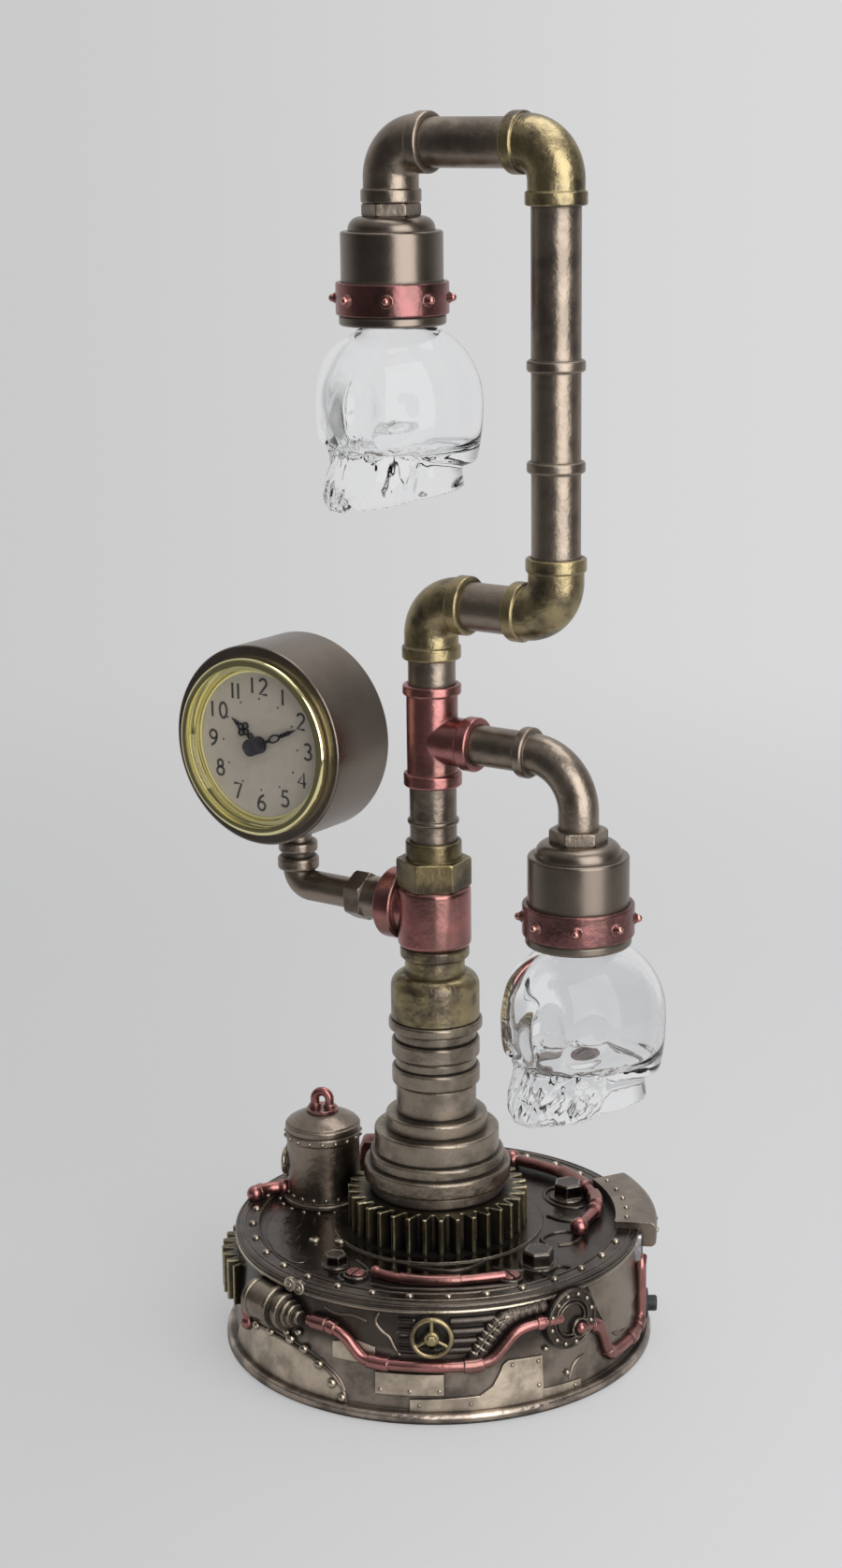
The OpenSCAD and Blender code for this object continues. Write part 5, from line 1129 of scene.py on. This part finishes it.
# %% Dress the disc and the handwheel
DISC_ANGLE, DISC_FACE, DISC_RIVETS, DISC_TRACK = -17.8, 72.95, 12, 8.7
disc_low, disc_high = in_mm(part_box("wall_disc"))
disc_rise = (disc_low.z + disc_high.z) / 2
disc_seat = on_wall(DISC_ANGLE, disc_rise, DISC_FACE - wall_radius(disc_rise))
disc_rivets = Shape()
for k in range(DISC_RIVETS):
    seat = disc_seat @ Matrix.Translation(polar(DISC_TRACK, 360 / DISC_RIVETS * k + 12, 0))
    disc_rivets.rivet(seat, 0.85, 0.8)
make("disc_rivets", disc_rivets, bright_bronze)
disc_trim = Shape()
for radius, thick in ((9.9, 0.55), (7.1, 0.55), (5.6, 0.4)):
    disc_trim.turned(arc((radius, 0), (thick, thick), 0, 360, 10), disc_seat, sides=64, caps=False)
ball_seat = disc_seat @ Matrix.Translation((3.4, -3.9, 0))
disc_trim.turned([(3.6, -0.8), (3.6, 0.6), (3.2, 1.0), (2.6, 0.7), (2.5, -0.2)], ball_seat, sides=36)
make("disc_trim", disc_trim, dark_bronze)
wheel_low, wheel_high = in_mm(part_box("handwheel"))
wheel_mid = (wheel_low + wheel_high) / 2
wheel_seat = on_wall(math.degrees(math.atan2(wheel_mid.y, wheel_mid.x)), wheel_mid.z,
                     wheel_mid.xy.length - wall_radius(wheel_mid.z))
wheel_hub = Shape()
wheel_hub.turned([(2.5, -1.2), (2.5, 0.9), (2.1, 1.3), (1.6, 1.3)], wheel_seat, sides=32)
wheel_hub.turned([(1.7, 1.2), (1.7, 2.3), (1.3, 2.6), (0.1, 2.6)], wheel_seat, sides=6)
make("wheel_hub", wheel_hub, brass, crease=25)
disc_ball = Shape().ball(ball_seat @ Vector((0, 0, 0.6)), 2.1)
make("disc_ball", disc_ball, copper)

# %% [markdown]
# ## Chain links, boiler trim and cover trim
# Two flat links hang by the right-hand pipe. The boiler has a riveted band under its lid, a riveted foot and
# a porthole ring. The rounded cover on the rim has a bevelled edge with rivets. A link is an outline and
# its hole, joined by faces, and the rest is rivets set round the solids.

# %% Hang the links
LINK_HALF, LINK_BACK, LINK_FRONT = 3.2, -1.4, 0.9


def long_round(wide, tall):
    """The outline of a link: two half rounds, set apart."""
    top = arc((0, LINK_HALF), (wide, tall), 0, 180, 14)
    return top + arc((0, -LINK_HALF), (wide, tall), 180, 360, 14)


rounds, holes = long_round(4.0, 4.4), long_round(1.7, 2.0)
links = Shape()
for angle, height, lean in ((24.5, 33.6, 12), (27.4, 22.6, -10)):
    seat = on_wall(angle, height, 1.2) @ Matrix.Rotation(math.radians(lean), 4, "Z")
    section = ((rounds, LINK_BACK), (rounds, LINK_FRONT), (holes, LINK_FRONT), (holes, LINK_BACK))
    rows = [[seat @ Vector((x, y, h)) for x, y in line] for line, h in section]
    links.skin(rows + rows[:1], caps=False)
make("chain_links", links, zinc, crease=25)

# %% Trim the boiler
boiler_low, boiler_high = in_mm(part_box("boiler_lid"))
boiler_axis = (boiler_low + boiler_high) / 2
BOILER_RADIUS, BOILER_FOOT, BOILER_RISE = 13.0, 14.7, 26.5
boiler_trim = Shape()


def round_boiler(radius, height, angle):
    """A place on the boiler's side whose own Z points out."""
    turn = Matrix.Rotation(math.radians(angle), 4, "Z") @ Matrix.Rotation(math.radians(90), 4, "Y")
    centre = Vector((boiler_axis.x, boiler_axis.y, DECK + height)) + polar(radius, angle, 0)
    return Matrix.Translation(centre) @ turn


for k in range(18):
    boiler_trim.rivet(round_boiler(BOILER_RADIUS + 0.5, BOILER_RISE - 1.6, 20 * k + 6), 0.75, 0.7)
    foot = Vector((boiler_axis.x, boiler_axis.y, DECK)) + polar(BOILER_FOOT + 1.2, 20 * k, 0)
    boiler_trim.rivet(Matrix.Translation(foot), 0.8, 0.7)
    boiler_trim.rivet(round_boiler(BOILER_RADIUS, 3.4, 20 * k + 10), 0.75, 0.6)
PORT_TURN, PORT_RIVETS, PORT_TRACK = 205, 8, 5.6
port = round_boiler(BOILER_RADIUS + 0.8, BOILER_RISE / 2, PORT_TURN)
boiler_trim.turned(arc((4.2, 0), (0.8, 0.9), 0, 360, 12), port, sides=40, caps=False)
for k in range(PORT_RIVETS):
    seat = port @ Matrix.Translation(polar(PORT_TRACK, 360 / PORT_RIVETS * k, -0.8))
    boiler_trim.rivet(seat, 0.6, 0.8)
make("boiler_trim", boiler_trim, bright_bronze)

# %% Rivet the cover
COVER_FIRST, COVER_SWEEP, COVER_REACH, COVER_TRACK, COVER_RIVETS = 25, 36, 76.9, 66.4, 5
cover_top = in_mm(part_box("rim_cover"))[1].z
cover_trim = Shape()
for k in range(COVER_RIVETS):
    angle = COVER_FIRST + COVER_SWEEP * (k + 0.5) / COVER_RIVETS
    cover_trim.rivet(on_wall(angle, RIM_MIDDLE, COVER_REACH - wall_radius(RIM_MIDDLE)), 0.9, 0.8)
    cover_trim.rivet(on_deck(COVER_TRACK, angle, cover_top), 0.9, 0.8)
make("cover_rivets", cover_trim, bright_bronze)

# %% [markdown]
